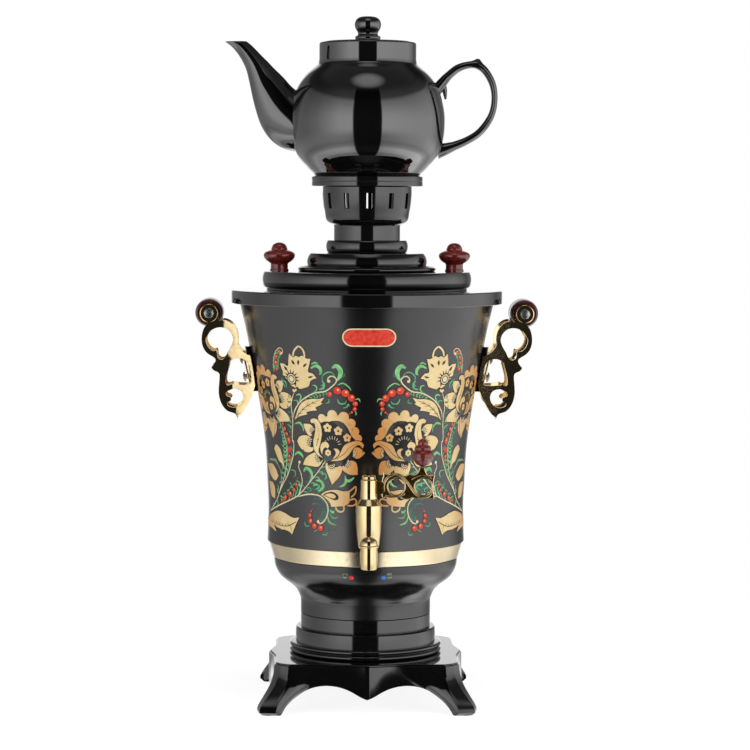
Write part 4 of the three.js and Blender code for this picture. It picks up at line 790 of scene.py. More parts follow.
# painted ornament on the tank, the right half drawn and the left half its mirror image
ornament = {
    # the lowest layer of the greens, of the gold and of the large flower
    "greensLevel": 3, "goldLevel": 14, "topLevel": 16, "edge": 0.45, "budRadius": 1.15,
    "sideFlower": (-1.0, 56.0, 31.0, 0.98),
    # places: (millimetres round a wall of radius 80 from the front, height) and the radius of a round shape
    "plaque": (10.8, 275.6, 6.6), "plaqueRim": 0.9, "heart": (58.0, 244.2, 4.2),
    # the heart at the top: its teeth stand at these angles, from one share of its radius to another
    "toothWidth": 1.5, "toothAngles": [-12 + 25.5 * k for k in range(9)], "toothShares": (0.9, 1.7),
    "heartRings": [("dark", 1.05, 4), ("cream", 0.86, 5), ("dark", 0.66, 6), ("cream", 0.5, 7)],
    "buds": [(28.0, 243.6), (58.0, 182.9), (41.2, 140.2), (64.8, 262.6)],
    # (ink, width, share of it at the start and at the end, points)
    "stems": [
        ("cream", 0.86, 0.8, 1, [(57.1, 234.3), (59.9, 229.5), (61.6, 224), (61.6, 218), (61.9, 211.3),
            (63.4, 204.5), (64.2, 198.2), (63, 197.6), (64.1, 188.8), (67, 181.9), (71.8, 172.9),
            (77.7, 166.5), (84.1, 159.9), (92.3, 151.1), (107.2, 142.6)]),
        ("cream", 0.73, 0.5, 1, [(81.3, 216.8), (76.2, 209.8), (73.5, 204.6), (72.6, 197.6), (71, 195.1),
            (72.2, 184.9), (74.9, 174.7), (79.3, 167), (85.4, 159)]),
        ("cream", 0.86, 0.6, 1.2, [(33.6, 185.3), (40, 177.4), (48.9, 168.2), (59.4, 158.9), (69.9, 154.2),
            (83.5, 149.7), (107.2, 142.6)]),
        ("cream", 0.92, 1, 0.8, [(60.5, 215.4), (58.6, 220.8), (52.3, 227.7), (45.3, 232), (39, 234.7),
            (31, 236.2), (26, 239.7), (23, 242.7), (22.5, 244.9), (23.8, 246.7), (26.2, 247.3),
            (28.3, 245.8), (28.7, 243.8), (27.5, 242.6)]),
        ("cream", 0.79, 0.3, 1, [(75, 248.2), (74.4, 254.2), (72.8, 259.6), (69.5, 264.3), (65.7, 266.5),
            (63.2, 265.4), (63.3, 263.2), (65, 262.5)]),
        ("cream", 0.73, 0.9, 1, [(58, 182.8), (59.2, 179.1), (57, 174.6), (55.9, 168.6), (57.7, 163.2),
            (59.9, 158.9)]),
        ("cream", 0.99, 1, 1, [(60.5, 157.3), (53.1, 159.2), (45.9, 159.9), (39.2, 158.9), (34.4, 155.1),
            (32.5, 150.5), (33.2, 145.2), (36.2, 140.4), (39.6, 138.8), (41, 139.9)]),
        ("cream", 0.59, 0.5, 0.6, [(104.1, 181.2), (92.3, 181.4), (85.7, 178.6), (82.1, 174.8),
            (81.2, 169.5), (82.4, 164.1), (85.4, 159.1)]),
    ],
    "sepals": [
        ("gold", 1.45, 0.9, 0.9, [(54.3, 260.9), (53.1, 264.4), (51.1, 266.8), (48.5, 268.6)]),
        ("gold", 1.45, 0.9, 0.9, [(48.5, 268.6), (46.2, 266.7), (45, 264.1), (44.8, 260.6)]),
        ("gold", 1.12, 1, 1, [(15.7, 162.6), (12.3, 165), (9.7, 166.8), (10, 162.3), (13.6, 158.7)]),
        ("gold", 1.12, 1, 1, [(15.1, 156.6), (10.7, 157.8), (9.2, 155.2), (11.8, 152.9), (16.6, 152.8)]),
        ("gold", 1.25, 1, 1, [(19.5, 153.2), (19.3, 149.5), (21.6, 148.1), (24.6, 148.9), (26.1, 151.5)]),
    ],
    "berries": [
        [(28, 234.1, 1.85), (22.3, 236.8, 2.77), (16.5, 235.1, 2.77), (12.2, 231.6, 2.51),
         (9.6, 227.4, 1.85), (10, 223.5, 1.45), (12.2, 221.1, 0.79), (13.7, 220.1, 0.53)],
        [(66.8, 263.6, 1.58), (70.4, 259.7, 1.65), (72, 255.3, 1.78), (71.8, 250.8, 1.58)],
        [(73.5, 210.1, 1.12), (71.9, 206.7, 1.58), (70.1, 202.9, 1.58), (68.7, 199, 1.78)],
        [(68.4, 197.9, 2.11), (68.4, 191.5, 2.11), (69.2, 186.5, 1.58), (69.3, 183.1, 1.06),
         (69.6, 181.2, 0.59)],
        [(60.6, 170.9, 0.4), (61, 169.1, 0.66), (62.5, 166.1, 1.45), (65, 161.9, 1.58), (70.1, 158.3, 2.31),
         (76.5, 155.3, 1.98), (82, 153, 1.45)],
        [(46.5, 149.1, 0.46), (47.8, 147.4, 0.73), (49, 144.3, 1.65), (48.4, 140.3, 1.78),
         (44.7, 136.7, 2.11), (38.9, 135.4, 2.24)],
    ],
    # filled shapes, in which a third value of 1 marks a corner
    "fills": [
        ("gold", [(55.6, 237.6, 1), (59, 239.5), (61.9, 242.6), (63.5, 244.5, 1), (64.4, 245.8),
                  (65.9, 246.7, 1), (65.4, 249.3), (66.6, 251.9), (67.1, 255.2, 1), (63.4, 255),
                  (59.9, 253.6), (58.6, 258.2), (57.3, 263, 1), (55.8, 261.3), (54.2, 260.3), (51.6, 261.3),
                  (49.4, 260.5), (46.8, 261.6), (44.8, 260.5), (43, 259.5), (40.3, 259.6, 1), (41.7, 255.5),
                  (43.1, 249.9), (39.7, 248.8), (36.9, 245.4, 1), (39.4, 244.8), (42, 243.2), (42.9, 240.9),
                  (44, 239.1, 1), (47.7, 237.9), (51.4, 237.1), (53.6, 238.6)]),
        ("dark", [(63.8, 253.5, 1), (61.6, 252.4), (60.5, 250.2, 1), (62.8, 250.6)]),
        ("dark", [(56.1, 258.2, 1), (54.1, 257.1), (53.4, 254.7, 1), (55.7, 255.7)]),
        ("dark", [(50.2, 258.7, 1), (49.4, 256.6), (50.7, 254.2, 1), (51.3, 256.5)]),
        ("dark", [(43.4, 256.3, 1), (44.8, 254), (47, 253.1, 1), (45.7, 255.3)]),
        ("dark", [(39.5, 246.8, 1), (41.6, 245.4), (44.1, 246, 1), (41.6, 246.9)]),
        ("dark", [(55.8, 240.4, 1), (56.4, 241.7), (55, 243.2, 1), (54, 241.8), (54.9, 238.5, 1)]),
        ("gold", [(58.8, 235.7, 1), (57.5, 236.9), (56.3, 236.3), (54.9, 237.2), (54.3, 235.9, 1),
                  (55.4, 235), (57.1, 234.1, 1), (58, 234.9)]),
        ("gold", [(59.6, 214, 1), (57.6, 217.5), (53.9, 224.1), (48.9, 228.2), (42.4, 230.1), (36.5, 230.3),
                  (31.9, 231.6, 1), (35, 227.7), (33.3, 227.3, 1), (36.3, 225.6), (39.6, 223.9),
                  (38.6, 221.9, 1), (42.6, 221.4), (45, 221), (47.9, 220), (46.9, 218.6, 1), (51.1, 217.7),
                  (55.6, 216.3)]),
    ],
    # single blades: (ink, width, points)
    "blades": [
        ("leaf", 2.9, [(25.2, 253.2), (21.9, 254.8), (19.4, 251.3), (20.2, 246.8), (23.1, 243.3)]),
        ("leaf", 1.98, [(40.9, 252.6), (36.9, 254.5), (33.9, 252.8), (33.4, 249.3), (35, 248.3)]),
        ("leaf", 0.92, [(40.1, 255.6), (37.2, 256.9), (35, 255.7)]),
        ("grass", 0.79, [(32.2, 242.2), (32.7, 246.5), (29.3, 249.8), (25.4, 249.8), (22.8, 245.9)]),
        ("grass", 0.66, [(34.2, 239.8), (32.3, 241.2), (31.7, 242.5)]),
        ("leaf", 0.92, [(40.7, 240.3), (38, 239.7), (37.8, 237), (40.4, 235.1)]),
        ("leaf", 0.79, [(21.9, 240.8), (18, 242.3), (14.1, 239.7), (12.2, 236.8)]),
        ("grass", 0.92, [(22.5, 230.8), (21, 227.5), (17.3, 227.5), (15.9, 229.6)]),
        ("grass", 0.79, [(31.7, 227.2), (28.9, 228.2), (29, 230.6)]),
        ("grass", 0.92, [(18.8, 224.2), (16, 224.9), (14.6, 226.9), (13.9, 225.1)]),
        ("leaf", 0.79, [(9.6, 230.3), (7.2, 231), (5.9, 228.6)]),
        ("grass", 0.79, [(9.4, 218.9), (9, 220.9), (10.4, 222)]),
        ("deep", 1.06, [(19, 246.8), (17.1, 247.5), (16.6, 249.6)]),
        ("grass", 1.32, [(35.9, 237.4), (32.5, 238.5), (31.8, 241.9), (33.8, 243.8)]),
        ("leaf", 1.72, [(63, 187.7), (59, 189.9), (55.1, 188.1), (54.5, 186)]),
        ("leaf", 2.24, [(54.1, 176.1), (51.9, 178.7), (47.8, 177.1), (46.1, 172.5), (49.8, 168.2)]),
        ("leaf", 1.98, [(42.8, 170.3), (38.2, 169.8), (36.4, 166.3), (39.1, 163.2), (41.6, 162.7)]),
        ("grass", 1.45, [(45.6, 166.5), (42.2, 167.4), (39.8, 165.5), (44.1, 163.3)]),
        ("leaf", 1.72, [(10.9, 173.5), (14.5, 171), (17.3, 171.5), (18.1, 174.8)]),
        ("leaf", 1.58, [(18.1, 174.8), (17.6, 170.2), (19.7, 167.5), (23.3, 166.2)]),
        ("grass", 0.92, [(68.3, 176.5), (63.9, 176.1), (62.9, 173.5), (65.4, 170.7)]),
        ("grass", 0.92, [(70.7, 167.6), (68, 165.2), (69.3, 163.7)]),
        ("grass", 1.06, [(38.6, 175.5), (34.6, 175.6), (33.5, 173), (35.4, 171)]),
        ("leaf", 1.45, [(60, 210.9), (55.3, 212), (52.2, 209.1), (52.3, 205.8)]),
        ("grass", 1.06, [(68.1, 210.3), (64.8, 208.5), (64.5, 205.8)]),
        ("leaf", 1.06, [(55.7, 232.2), (52.3, 233), (51.5, 230.7), (54.1, 227.1)]),
        ("grass", 0.79, [(58.7, 228.2), (55.4, 228.3), (55, 225.8), (57.3, 222.2)]),
        ("leaf", 1.19, [(33, 144.5), (31, 140), (25.2, 138.2)]),
        ("leaf", 1.45, [(31, 149.2), (28.3, 147.3), (27.5, 148.7)]),
        ("grass", 0.92, [(31.1, 146.9), (28.3, 143.4), (23.7, 144.2)]),
        ("deep", 1.19, [(46, 155.9), (40.9, 157.4), (37.2, 155.6), (36.5, 151)]),
        ("deep", 1.06, [(47, 152.5), (41.8, 153.4), (38.6, 151.6), (39.5, 148.2)]),
        ("deep", 0.92, [(46.3, 144.6), (42.9, 145.4), (43.7, 148)]),
        ("deep", 0.92, [(33, 135.3), (29.8, 134.1), (26.7, 135.5)]),
        ("grass", 0.79, [(54.3, 139.4), (52.9, 136.2), (48.9, 136.8)]),
        ("grass", 0.79, [(45.2, 132.7), (42.4, 133.9), (41.9, 134.9)]),
        ("grass", 0.79, [(37.3, 131.1), (33.7, 130.7), (33.1, 133.3)]),
        ("grass", 0.92, [(66.8, 242.5), (64.1, 241.3), (63.8, 237.3)]),
        ("grass", 0.92, [(67.8, 244.5), (67.3, 241.1), (65, 237.2)]),
        ("grass", 0.92, [(102.5, 181.9), (89.4, 182.3), (86.5, 179.2)]),
    ],
    # rows of curls: (ink, side of the stem, count, first and last length, width, stem)
    "rows": [
        ("grass", -1, 8, 3.96, 9.9, 1.06, [(101.5, 144), (83.5, 149.5), (69.9, 154), (61, 157.5)]),
        ("leaf", -1, 5, 3.96, 7.92, 0.79, [(94.4, 145.5), (80.5, 149.8), (67.6, 154.4), (59.8, 157.4)]),
        ("grass", 1, 7, 5.94, 5.28, 1.19, [(75.8, 247.9), (75.9, 252.7), (74.1, 258.9), (70.5, 264.4)]),
        ("grass", -1, 9, 4.62, 5.28, 0.92, [(83.3, 160), (76.9, 167.2), (70.7, 174.7), (66.1, 182.7),
            (64, 190.1)]),
        ("leaf", -1, 4, 3.3, 3.96, 0.66, [(76.3, 167.2), (70.7, 174.7), (66.8, 181.3)]),
        ("deep", 1, 10, 3.96, 3.96, 0.92, [(57.6, 232.3), (60.7, 226.7), (61.5, 220), (61.7, 212.6),
            (63, 205.2), (63.9, 198.2)]),
        ("grass", 1, 8, 3.96, 2.24, 0.79, [(54.1, 226.9), (45.3, 231.8), (38.2, 234.5), (31.3, 236)]),
        ("deep", -1, 7, 2.64, 1.72, 0.66, [(54.3, 225.7), (45.4, 230.9), (38.3, 233.6), (31.4, 235.2)]),
        ("grass", 1, 6, 3.96, 3.96, 0.79, [(80.5, 216.2), (75.7, 209.5), (72.8, 204.3), (72.2, 197.7)]),
        ("grass", 1, 8, 4.62, 5.28, 0.92, [(71.4, 201.8), (70.7, 195.1), (71.9, 185), (74.7, 174.7)]),
        ("leaf", 1, 4, 3.96, 3.96, 0.79, [(76.7, 199.4), (71.6, 191.7), (73, 182.9)]),
        ("grass", 1, 7, 3.96, 3.3, 0.92, [(56.9, 159.9), (48.9, 167), (40, 176.6), (34.8, 183.6)]),
        ("deep", -1, 7, 3.96, 2.64, 0.92, [(55.9, 160), (48, 167.6), (39.2, 177.5), (34, 184)]),
        ("deep", -1, 8, 4.62, 5.94, 1.06, [(55, 158.5), (45.9, 159.3), (39.2, 158.2), (34.9, 154.4),
            (33.4, 150.5)]),
        ("deep", 1, 7, 3.96, 5.94, 1.06, [(34.1, 154.4), (32.2, 150.5), (32.7, 145.2), (34.6, 140.5)]),
        ("leaf", 1, 3, 3.96, 3.3, 0.79, [(90.4, 166.1), (84, 161.2), (85.9, 157.7)]),
    ],
    "tulip": [
        ("gold", [(38.5, 160.1, 1), (33.4, 162.9), (25.7, 164.1), (19.8, 163.2), (14.9, 163.3),
                  (14.7, 159.5), (14.7, 155.5), (18.4, 152.7), (25.2, 151.8), (29.8, 151.5, 1),
                  (30.9, 154.5), (35.2, 158.2)]),
        ("dark", [(36.9, 159.9, 1), (33.5, 161.7), (28, 162.5), (24.1, 160.3), (23.6, 157.6), (26.6, 156.4),
                  (30.8, 157.7), (34.3, 158.9)]),
        ("gold", [(35.5, 159.9, 1), (31.9, 161.1), (28.1, 161), (25.8, 159.2), (27.4, 157.7),
                  (31.6, 158.5)]),
    ],
    "leaf": [
        ("gold", [(113.3, 136.7, 1), (103.7, 141), (88.6, 144.6), (78.2, 143.9), (75.2, 143.2, 1),
                  (71.7, 142.2), (69.6, 141.7, 1), (65.7, 141.2), (59.8, 142, 1), (63.3, 136.8),
                  (65.4, 133.2), (67.8, 128.8, 1), (71.4, 130.7), (77.6, 131.5), (81.8, 131.3, 1),
                  (84.6, 131.8), (91, 132.3, 1), (94.4, 133.4), (102.1, 133.7, 1), (106.7, 134.9)]),
        ("gold", [(121.3, 140.1, 1), (121.3, 136), (100.5, 135), (90.8, 128.7, 1), (101.8, 130.6),
                  (120.3, 132.7)]),
    ],
    "sidePetals": [
        [(92.7, 211.2, 1), (89.4, 207.5), (93.2, 201.8), (90.7, 198.5, 1), (84.2, 203.9), (82.4, 209.4),
         (83.2, 212.7)],
        [(114.4, 208, 1), (102.1, 207.9), (102.7, 204.5), (113, 201), (121.3, 203)],
        [(110.1, 177.6, 1), (97.5, 178.8), (90.4, 175.5), (86.3, 170.6, 1), (91.7, 166.8), (98.3, 168.1),
         (105.7, 172.2)],
        [(108, 165, 1), (98, 164.7), (93.9, 160.4), (94.5, 153.1, 1), (102.6, 154.2), (106.1, 158.6)],
        [(91.1, 190.5, 1), (87.1, 193.9), (81.9, 191.6), (79.3, 187.8), (76.2, 176.6, 1), (80, 180.4),
         (83.1, 181.5), (85.9, 183.9)],
    ],
    # dark veins: (width, share at the start, at the end) and the lines drawn so
    "veins": [
        ((0.46, 0.4, 1), [[(106.7, 135.9), (90.1, 134.5), (77.7, 134.2), (70.2, 135.6), (63.3, 138.7)]]),
        ((0.33, 1, 0.3), [[(70.2, 135.6), (68.7, 132.4), (68.2, 130.5)]]),
        ((0.4, 0.2, 1), [[(100.6, 137.6), (95.3, 135.9)], [(94.1, 137.1), (89.8, 135.3)],
                         [(88.4, 136.7), (84.7, 134.8)], [(83.2, 136.4), (79.9, 134.4)],
                         [(78.5, 136.4), (75.6, 134.4)], [(74.3, 137), (71.6, 135)]]),
        ((0.4, 1, 0.4), [[(57.3, 215.9), (53.4, 219.7), (47.9, 224.1), (41.2, 227.5), (35.7, 229.4)]]),
        ((0.33, 0.9, 0.2), [[(54.4, 218.7), (50.9, 219.3)], [(50.6, 222.1), (46.5, 222)],
                            [(46.5, 224.9), (42.2, 224.9)], [(42.3, 226.9), (38.5, 226.9)],
                            [(55.4, 217.6), (55.1, 220.2)], [(51.5, 221.4), (50.8, 224.3)],
                            [(47, 224.6), (45.8, 227.3)], [(42.4, 226.9), (41, 228.8)]]),
    ],
}
bigFlower = {
    "middle": (31.0, 192.0), "bandWidth": 4.6, "edge": 0.55, "stamens": (27.7, 196.4, 5.81),
    "heart": (31.5, 191, 2.51),
    "stamenWidth": 0.5, "stamenAngles": [168 - 19.5 * k for k in range(9)], "stamenShares": (0.8, 1.24),
    "smallFlowerShare": 1.02, "heartShare": 0.8,
    "field": [(39.2, 210.5), (33.5, 213.8), (27, 213.2), (21.5, 209.5), (17.5, 203.5), (16.2, 197.5),
              (20.0, 191.0), (27, 188.5), (33.5, 190.0), (37.5, 197.0), (39.0, 204.0)],
    "scallops": [(35.2, 216.3, 3.04), (26.9, 218.8, 3.7), (18.3, 217.4, 3.96), (12.9, 213, 3.43),
                 (10.3, 207, 3.43), (7.6, 202.1, 2.77)],
    "smallFlowers": [(31.1, 209.3, 3.3), (22.8, 207.2, 3.3), (16.1, 202.4, 3.04)],
    "eyes": [(45.5, 197.7, 2.9), (39.2, 187, 2.64), (29, 182.7, 2.77), (17.2, 184.1, 2.64), (12, 191, 2.24),
             (43.2, 206.2, 2.24)],
    "band": [(37.8, 215.4), (32.9, 214.9), (27.1, 216.7), (19.1, 215.9), (14.1, 211), (11.3, 205),
             (8.1, 201.5)],
    "petals": [
        [(51.4, 211.5, 1), (45.9, 211.5), (42.8, 208.9), (42.8, 205.5), (46.2, 202.6), (49.1, 204.9),
         (50.9, 208.5)],
        [(59.1, 198.3, 1), (56.1, 201.8), (49.7, 203.1), (45.2, 201), (43.6, 196.5), (44.5, 192.2),
         (49.6, 190.5), (54.8, 192.5), (57.5, 195.2)],
        [(54.4, 181.2, 1), (51.6, 186.2), (46.2, 189.6), (41.3, 190.6), (36.5, 186.9), (37.3, 183.4),
         (40.9, 180.4), (47.6, 180.7)],
        [(28.7, 167.8, 1), (31.4, 173.6), (34, 180.2), (32.4, 183.6), (26.1, 180.6), (21.3, 181.7),
         (20.5, 178.1), (23.1, 173.2)],
        [(8.3, 175.5, 1), (14.5, 175.5), (19.9, 178.6), (20.2, 181.2), (14.4, 185.5), (10, 184.7),
         (8.3, 180.8)],
        [(2.5, 191.5, 1), (7, 195.2), (10.7, 194.7), (12.4, 190.8), (10.8, 188), (7.1, 187.5)],
    ],
    "rolledPetals": [
        [(44.1, 212.3, 1), (45, 214.2), (42.3, 215.8), (38.6, 214.8), (36.3, 210.2), (35.9, 203.8),
         (36.2, 203.5), (37.6, 198.1), (39.5, 191.2), (35.5, 186.9, 1), (40.6, 189.2), (43.4, 193.2),
         (43.6, 199.2), (42.6, 202.2), (41.1, 208.3), (41.7, 212.2)],
        [(30.1, 185, 1), (24.5, 187.2), (21.5, 191.3), (18.4, 196.7), (12.7, 199.4), (7.1, 200.1),
         (3.6, 197.5), (4.4, 194.8, 1), (7.2, 197.3), (11.4, 194.8), (15, 190.1), (20.8, 185.9)],
        [(36.6, 189.4, 1), (37.9, 193.4), (36.7, 197.5), (32.9, 199.1), (30.5, 196.4), (31.7, 194.2, 1),
         (33.9, 194.9), (35.8, 192.7)],
        [(27.1, 194.1, 1), (24.1, 194.1), (22.2, 191.8), (24.4, 188.4), (28.2, 185.9, 1), (25.6, 189.7),
         (25.4, 192.1)],
    ],
    "veins": [
        ((0.33, 0.2, 1), [[(39.7, 211.7), (38.3, 206.4), (39.1, 200.3), (39.7, 200.7), (41.1, 195.3)],
                          [(7.8, 198.5), (14.2, 195.4), (18.6, 190.7), (24.5, 186.6)]]),
    ],
}
ink = {
    # millimetres: the lowest layer's gap, the step between layers, the strips round and up, the drawn field
    "gap": 0.04, "step": 0.009, "cell": 1.6, "rise": 4.0,
    "wallRadius": 80.0, "reach": 118.0, "low": 126.0, "high": 284.0,
    "finishes": {
        "gold": "goldInk", "cream": "creamInk", "leaf": "leafGreenInk", "grass": "grassGreenInk",
        "deep": "deepGreenInk", "berry": "berryRedInk", "spark": "sunYellowInk", "dark": "charcoalInk",
    },
}
# how the brush draws; the shares are of a stroke's length and width, or of a round shape's radius
brush = {
    "bladeRootShare": 0.07, "bladeTipShare": 0.06, "bladePower": 0.8, "endShare": 0.4, "endRate": 8,
    "blade": 1.2, "vein": 1.6, "curlWidth": 1.25, "curlLength": 1.3, "curlCount": 1.05, "curlStart": 0.6,
    # a curl leaves the stem forwards and bends back: (out, along) shares of its length
    "curlShares": [(0.42, 0.5), (0.8, 0.42), (0.74, 0.06)],
    "petalAtShare": 0.58, "petalShare": 0.42, "middleShare": 0.5, "dotShare": 0.24,
    "eyeShare": 1.16, "eyeTicks": (-0.9, -0.45, 0.0, 0.45, 0.9), "tickShares": (1.0, 1.7), "tick": 0.62,
    "eyeArcs": ((0.9, 0.62), (0.45, 0.5)), "arcTurns": [-1.5 + 0.5 * k for k in range(7)],
    # a berry's edge, its red and its spark: (ink, aside, up, radius, sides)
    "berryShares": [("dark", 0, 0, 1.2, 18), ("berry", 0, 0, 1.02, 18), ("spark", -0.2, 0.25, 0.3, 10)],
}


def strokeHalf(width, startShare, endShare, share, blade):
    # half a stroke's width at a share of its length; a blade swells and ends in a point
    b = brush
    if blade:
        swell = math.sin(math.pi * min(1.0, share * (1 - b["bladeRootShare"]) + b["bladeRootShare"]))
        return width / 2 * max(b["bladeTipShare"], swell ** b["bladePower"])
    ends = min(1.0, b["endShare"] + b["endRate"] * share, b["endShare"] + b["endRate"] * (1 - share))
    return width / 2 * (startShare + (endShare - startShare) * share) * ends


class Painter:
    # collects flat painted shapes in one mesh for each ink; a higher level lies over a lower one
    def __init__(self):
        self.sheets = {name: bmesh.new() for name in ink["finishes"]}
        self.level = 0

    def depth(self, over):
        return -(ink["gap"] + ink["step"] * (self.level + over))

    def stroke(self, name, width, startShare, endShare, points, blade=False, over=0):
        bm, y = self.sheets[name], self.depth(over)
        line = smoothLine(points, 5)
        before, beforeEdge = None, None
        for i, (u, z) in enumerate(line):
            along = heading(line, i)
            if along.length < 1e-6:
                continue
            along.normalize()
            half = strokeHalf(width, startShare, endShare, i / (len(line) - 1), blade)
            a = (u - along[1] * half, y, z + along[0] * half)
            b = (u + along[1] * half, y, z - along[0] * half)
            if before is None:
                before = [bm.verts.new(a), bm.verts.new(b)]
                beforeEdge = bm.edges.new(before)
                continue
            grown = bmesh.ops.extrude_edge_only(bm, edges=[beforeEdge])["geom"]
            new = {}
            for vert in (g for g in grown if isinstance(g, bmesh.types.BMVert)):
                for edge in vert.link_edges:
                    if edge.other_vert(vert) in before:
                        new[before.index(edge.other_vert(vert))] = vert
            new[0].co, new[1].co = a, b
            before = [new[0], new[1]]
            beforeEdge = bm.edges.get(before)

    def disc(self, name, place, radius, count=20, over=0):
        bm, upright = self.sheets[name], Matrix.Rotation(math.radians(90), 4, "X")
        made = bmesh.ops.create_circle(bm, cap_ends=True, segments=count, radius=radius, matrix=upright)
        bmesh.ops.translate(bm, verts=made["verts"], vec=(place[0], self.depth(over), place[1]))

    def fill(self, name, points, perSpan=5, over=0, grow=0.0):
        bm, y = self.sheets[name], self.depth(over)
        line = smoothLine(points, perSpan, closed=True)
        if grow:
            # drawn larger all round, for a dark edge under a pale shape
            turning = sum(a[0] * b[1] - b[0] * a[1] for a, b in zip(line, line[1:] + line[:1]))
            out = grow if turning > 0 else -grow
            wider = []
            for i, (u, z) in enumerate(line):
                ahead, back = line[(i + 1) % len(line)], line[i - 1]
                along = Vector((ahead[0] - back[0], ahead[1] - back[1])).normalized()
                wider.append((u + along[1] * out, z - along[0] * out))
            line = wider
        bmesh.ops.triangle_fill(bm, use_beauty=True, edges=loopEdges(bm,
            [bm.verts.new((u, y, z)) for u, z in line]))

    def edged(self, name, points, edge, over):
        self.fill("dark", points, over=over, grow=edge)
        self.fill(name, points, over=over + 1)

    def flower(self, place, radius, petals, over):
        b = brush
        for k in range(petals):
            a, out = math.radians(90 + 360 / petals * k), radius * b["petalAtShare"]
            petal = (place[0] + out * math.cos(a), place[1] + out * math.sin(a))
            self.disc("gold", petal, radius * b["petalShare"], 14, over)
        self.disc("gold", place, radius * b["middleShare"], 14, over)
        self.disc("dark", place, radius * b["dotShare"], 10, over + 1)

    def eye(self, place, radius, outward):
        # two pale arcs in a dark root, with ticks reaching into the petal
        def spot(angle, share):
            out = radius * share
            return (place[0] + out * math.cos(outward + angle), place[1] + out * math.sin(outward + angle))

        b = brush
        self.disc("dark", place, radius * b["eyeShare"], 20, 4)
        for angle in b["eyeTicks"]:
            self.stroke("dark", b["tick"], 1, 0.3, [spot(angle, share) for share in b["tickShares"]], over=4)
        for share, width in b["eyeArcs"]:
            self.stroke("cream", width, 1, 1, [spot(angle, share) for angle in b["arcTurns"]], over=5)

    def rays(self, name, width, endShare, centre, radius, angles, reach, over, flip=1.0):
        # short strokes that stand round a centre, from one share of the radius to another
        for degrees in angles:
            a = math.radians(degrees)
            ray = Vector((math.cos(a) * flip, math.sin(a)))
            ends = [tuple(Vector(centre) + ray * radius * share) for share in reach]
            self.stroke(name, width, 1, endShare, ends, over=over)

    def berries(self, chain):
        for u, z, radius in chain:
            for over, (name, aside, up, share, sides) in enumerate(brush["berryShares"]):
                self.disc(name, (u + radius * aside, z + radius * up), radius * share, sides, over)

    def curls(self, name, side, count, firstLength, lastLength, width, points):
        # a row of curls along a stem
        line = smoothLine(points, 6)
        last = len(line) - 1
        count = round(count * brush["curlCount"])
        for i in range(count):
            at = (i + brush["curlStart"]) / count * last
            k = min(int(at), last - 1)
            a, b = Vector(line[k]), Vector(line[k + 1])
            foot = a.lerp(b, at - k)
            along = (b - a).normalized()
            out = Vector((-along.y, along.x)) * side
            length = (firstLength + (lastLength - firstLength) * i / max(1, count - 1)) * brush["curlLength"]
            curl = [foot] + [foot + (out * aside + along * ahead) * length for aside,
                             ahead in brush["curlShares"]]
            self.stroke(name, width * brush["curlWidth"], 1, 1, [tuple(p) for p in curl], blade=True,
                        over=i % 2)

    def bigFlower(self, flip=1.0, du=0.0, dz=0.0, size=1.0):
        # the large flower, turned over, shifted and made larger or smaller about its middle
        f = bigFlower
        middle = f["middle"]

        def put(points):
            return [(middle[0] + (u - middle[0]) * size * flip + du, middle[1] + (z - middle[1]) * size + dz,
                     *rest)
                    for u, z, *rest in points]

        for u, z, radius in put(f["scallops"]):
            self.disc("gold", (u, z), radius * size, 22)
        self.stroke("gold", f["bandWidth"] * size, 1, 0.7, put(f["band"]))
        self.fill("dark", put(f["field"]), 5, 1)
        for u, z, radius in put(f["smallFlowers"]):
            self.flower((u, z), radius * size * f["smallFlowerShare"], 5, 2)
        ((u, z, radius), (heartU, heartZ, heartRadius)) = put([f["stamens"], f["heart"]])
        self.rays("cream", f["stamenWidth"] * size, 0.6, (u, z), radius * size, f["stamenAngles"],
                  f["stamenShares"], 2, flip)
        for points in f["petals"]:
            self.edged("gold", put(points), f["edge"], 2)
        for u, z, radius in put(f["eyes"]):
            self.eye((u, z), radius * size, math.atan2(z - heartZ, u - heartU))
        for points in f["rolledPetals"]:
            self.edged("gold", put(points), f["edge"], 9)
        for (width, *shares), lines in f["veins"]:
            for points in lines:
                self.stroke("dark", width * brush["vein"] * size, *shares, put(points), over=11)
        self.disc("cream", (heartU, heartZ), heartRadius * size * f["heartShare"], 12, 11)
        self.flower((heartU, heartZ), heartRadius * size, 6, 12)


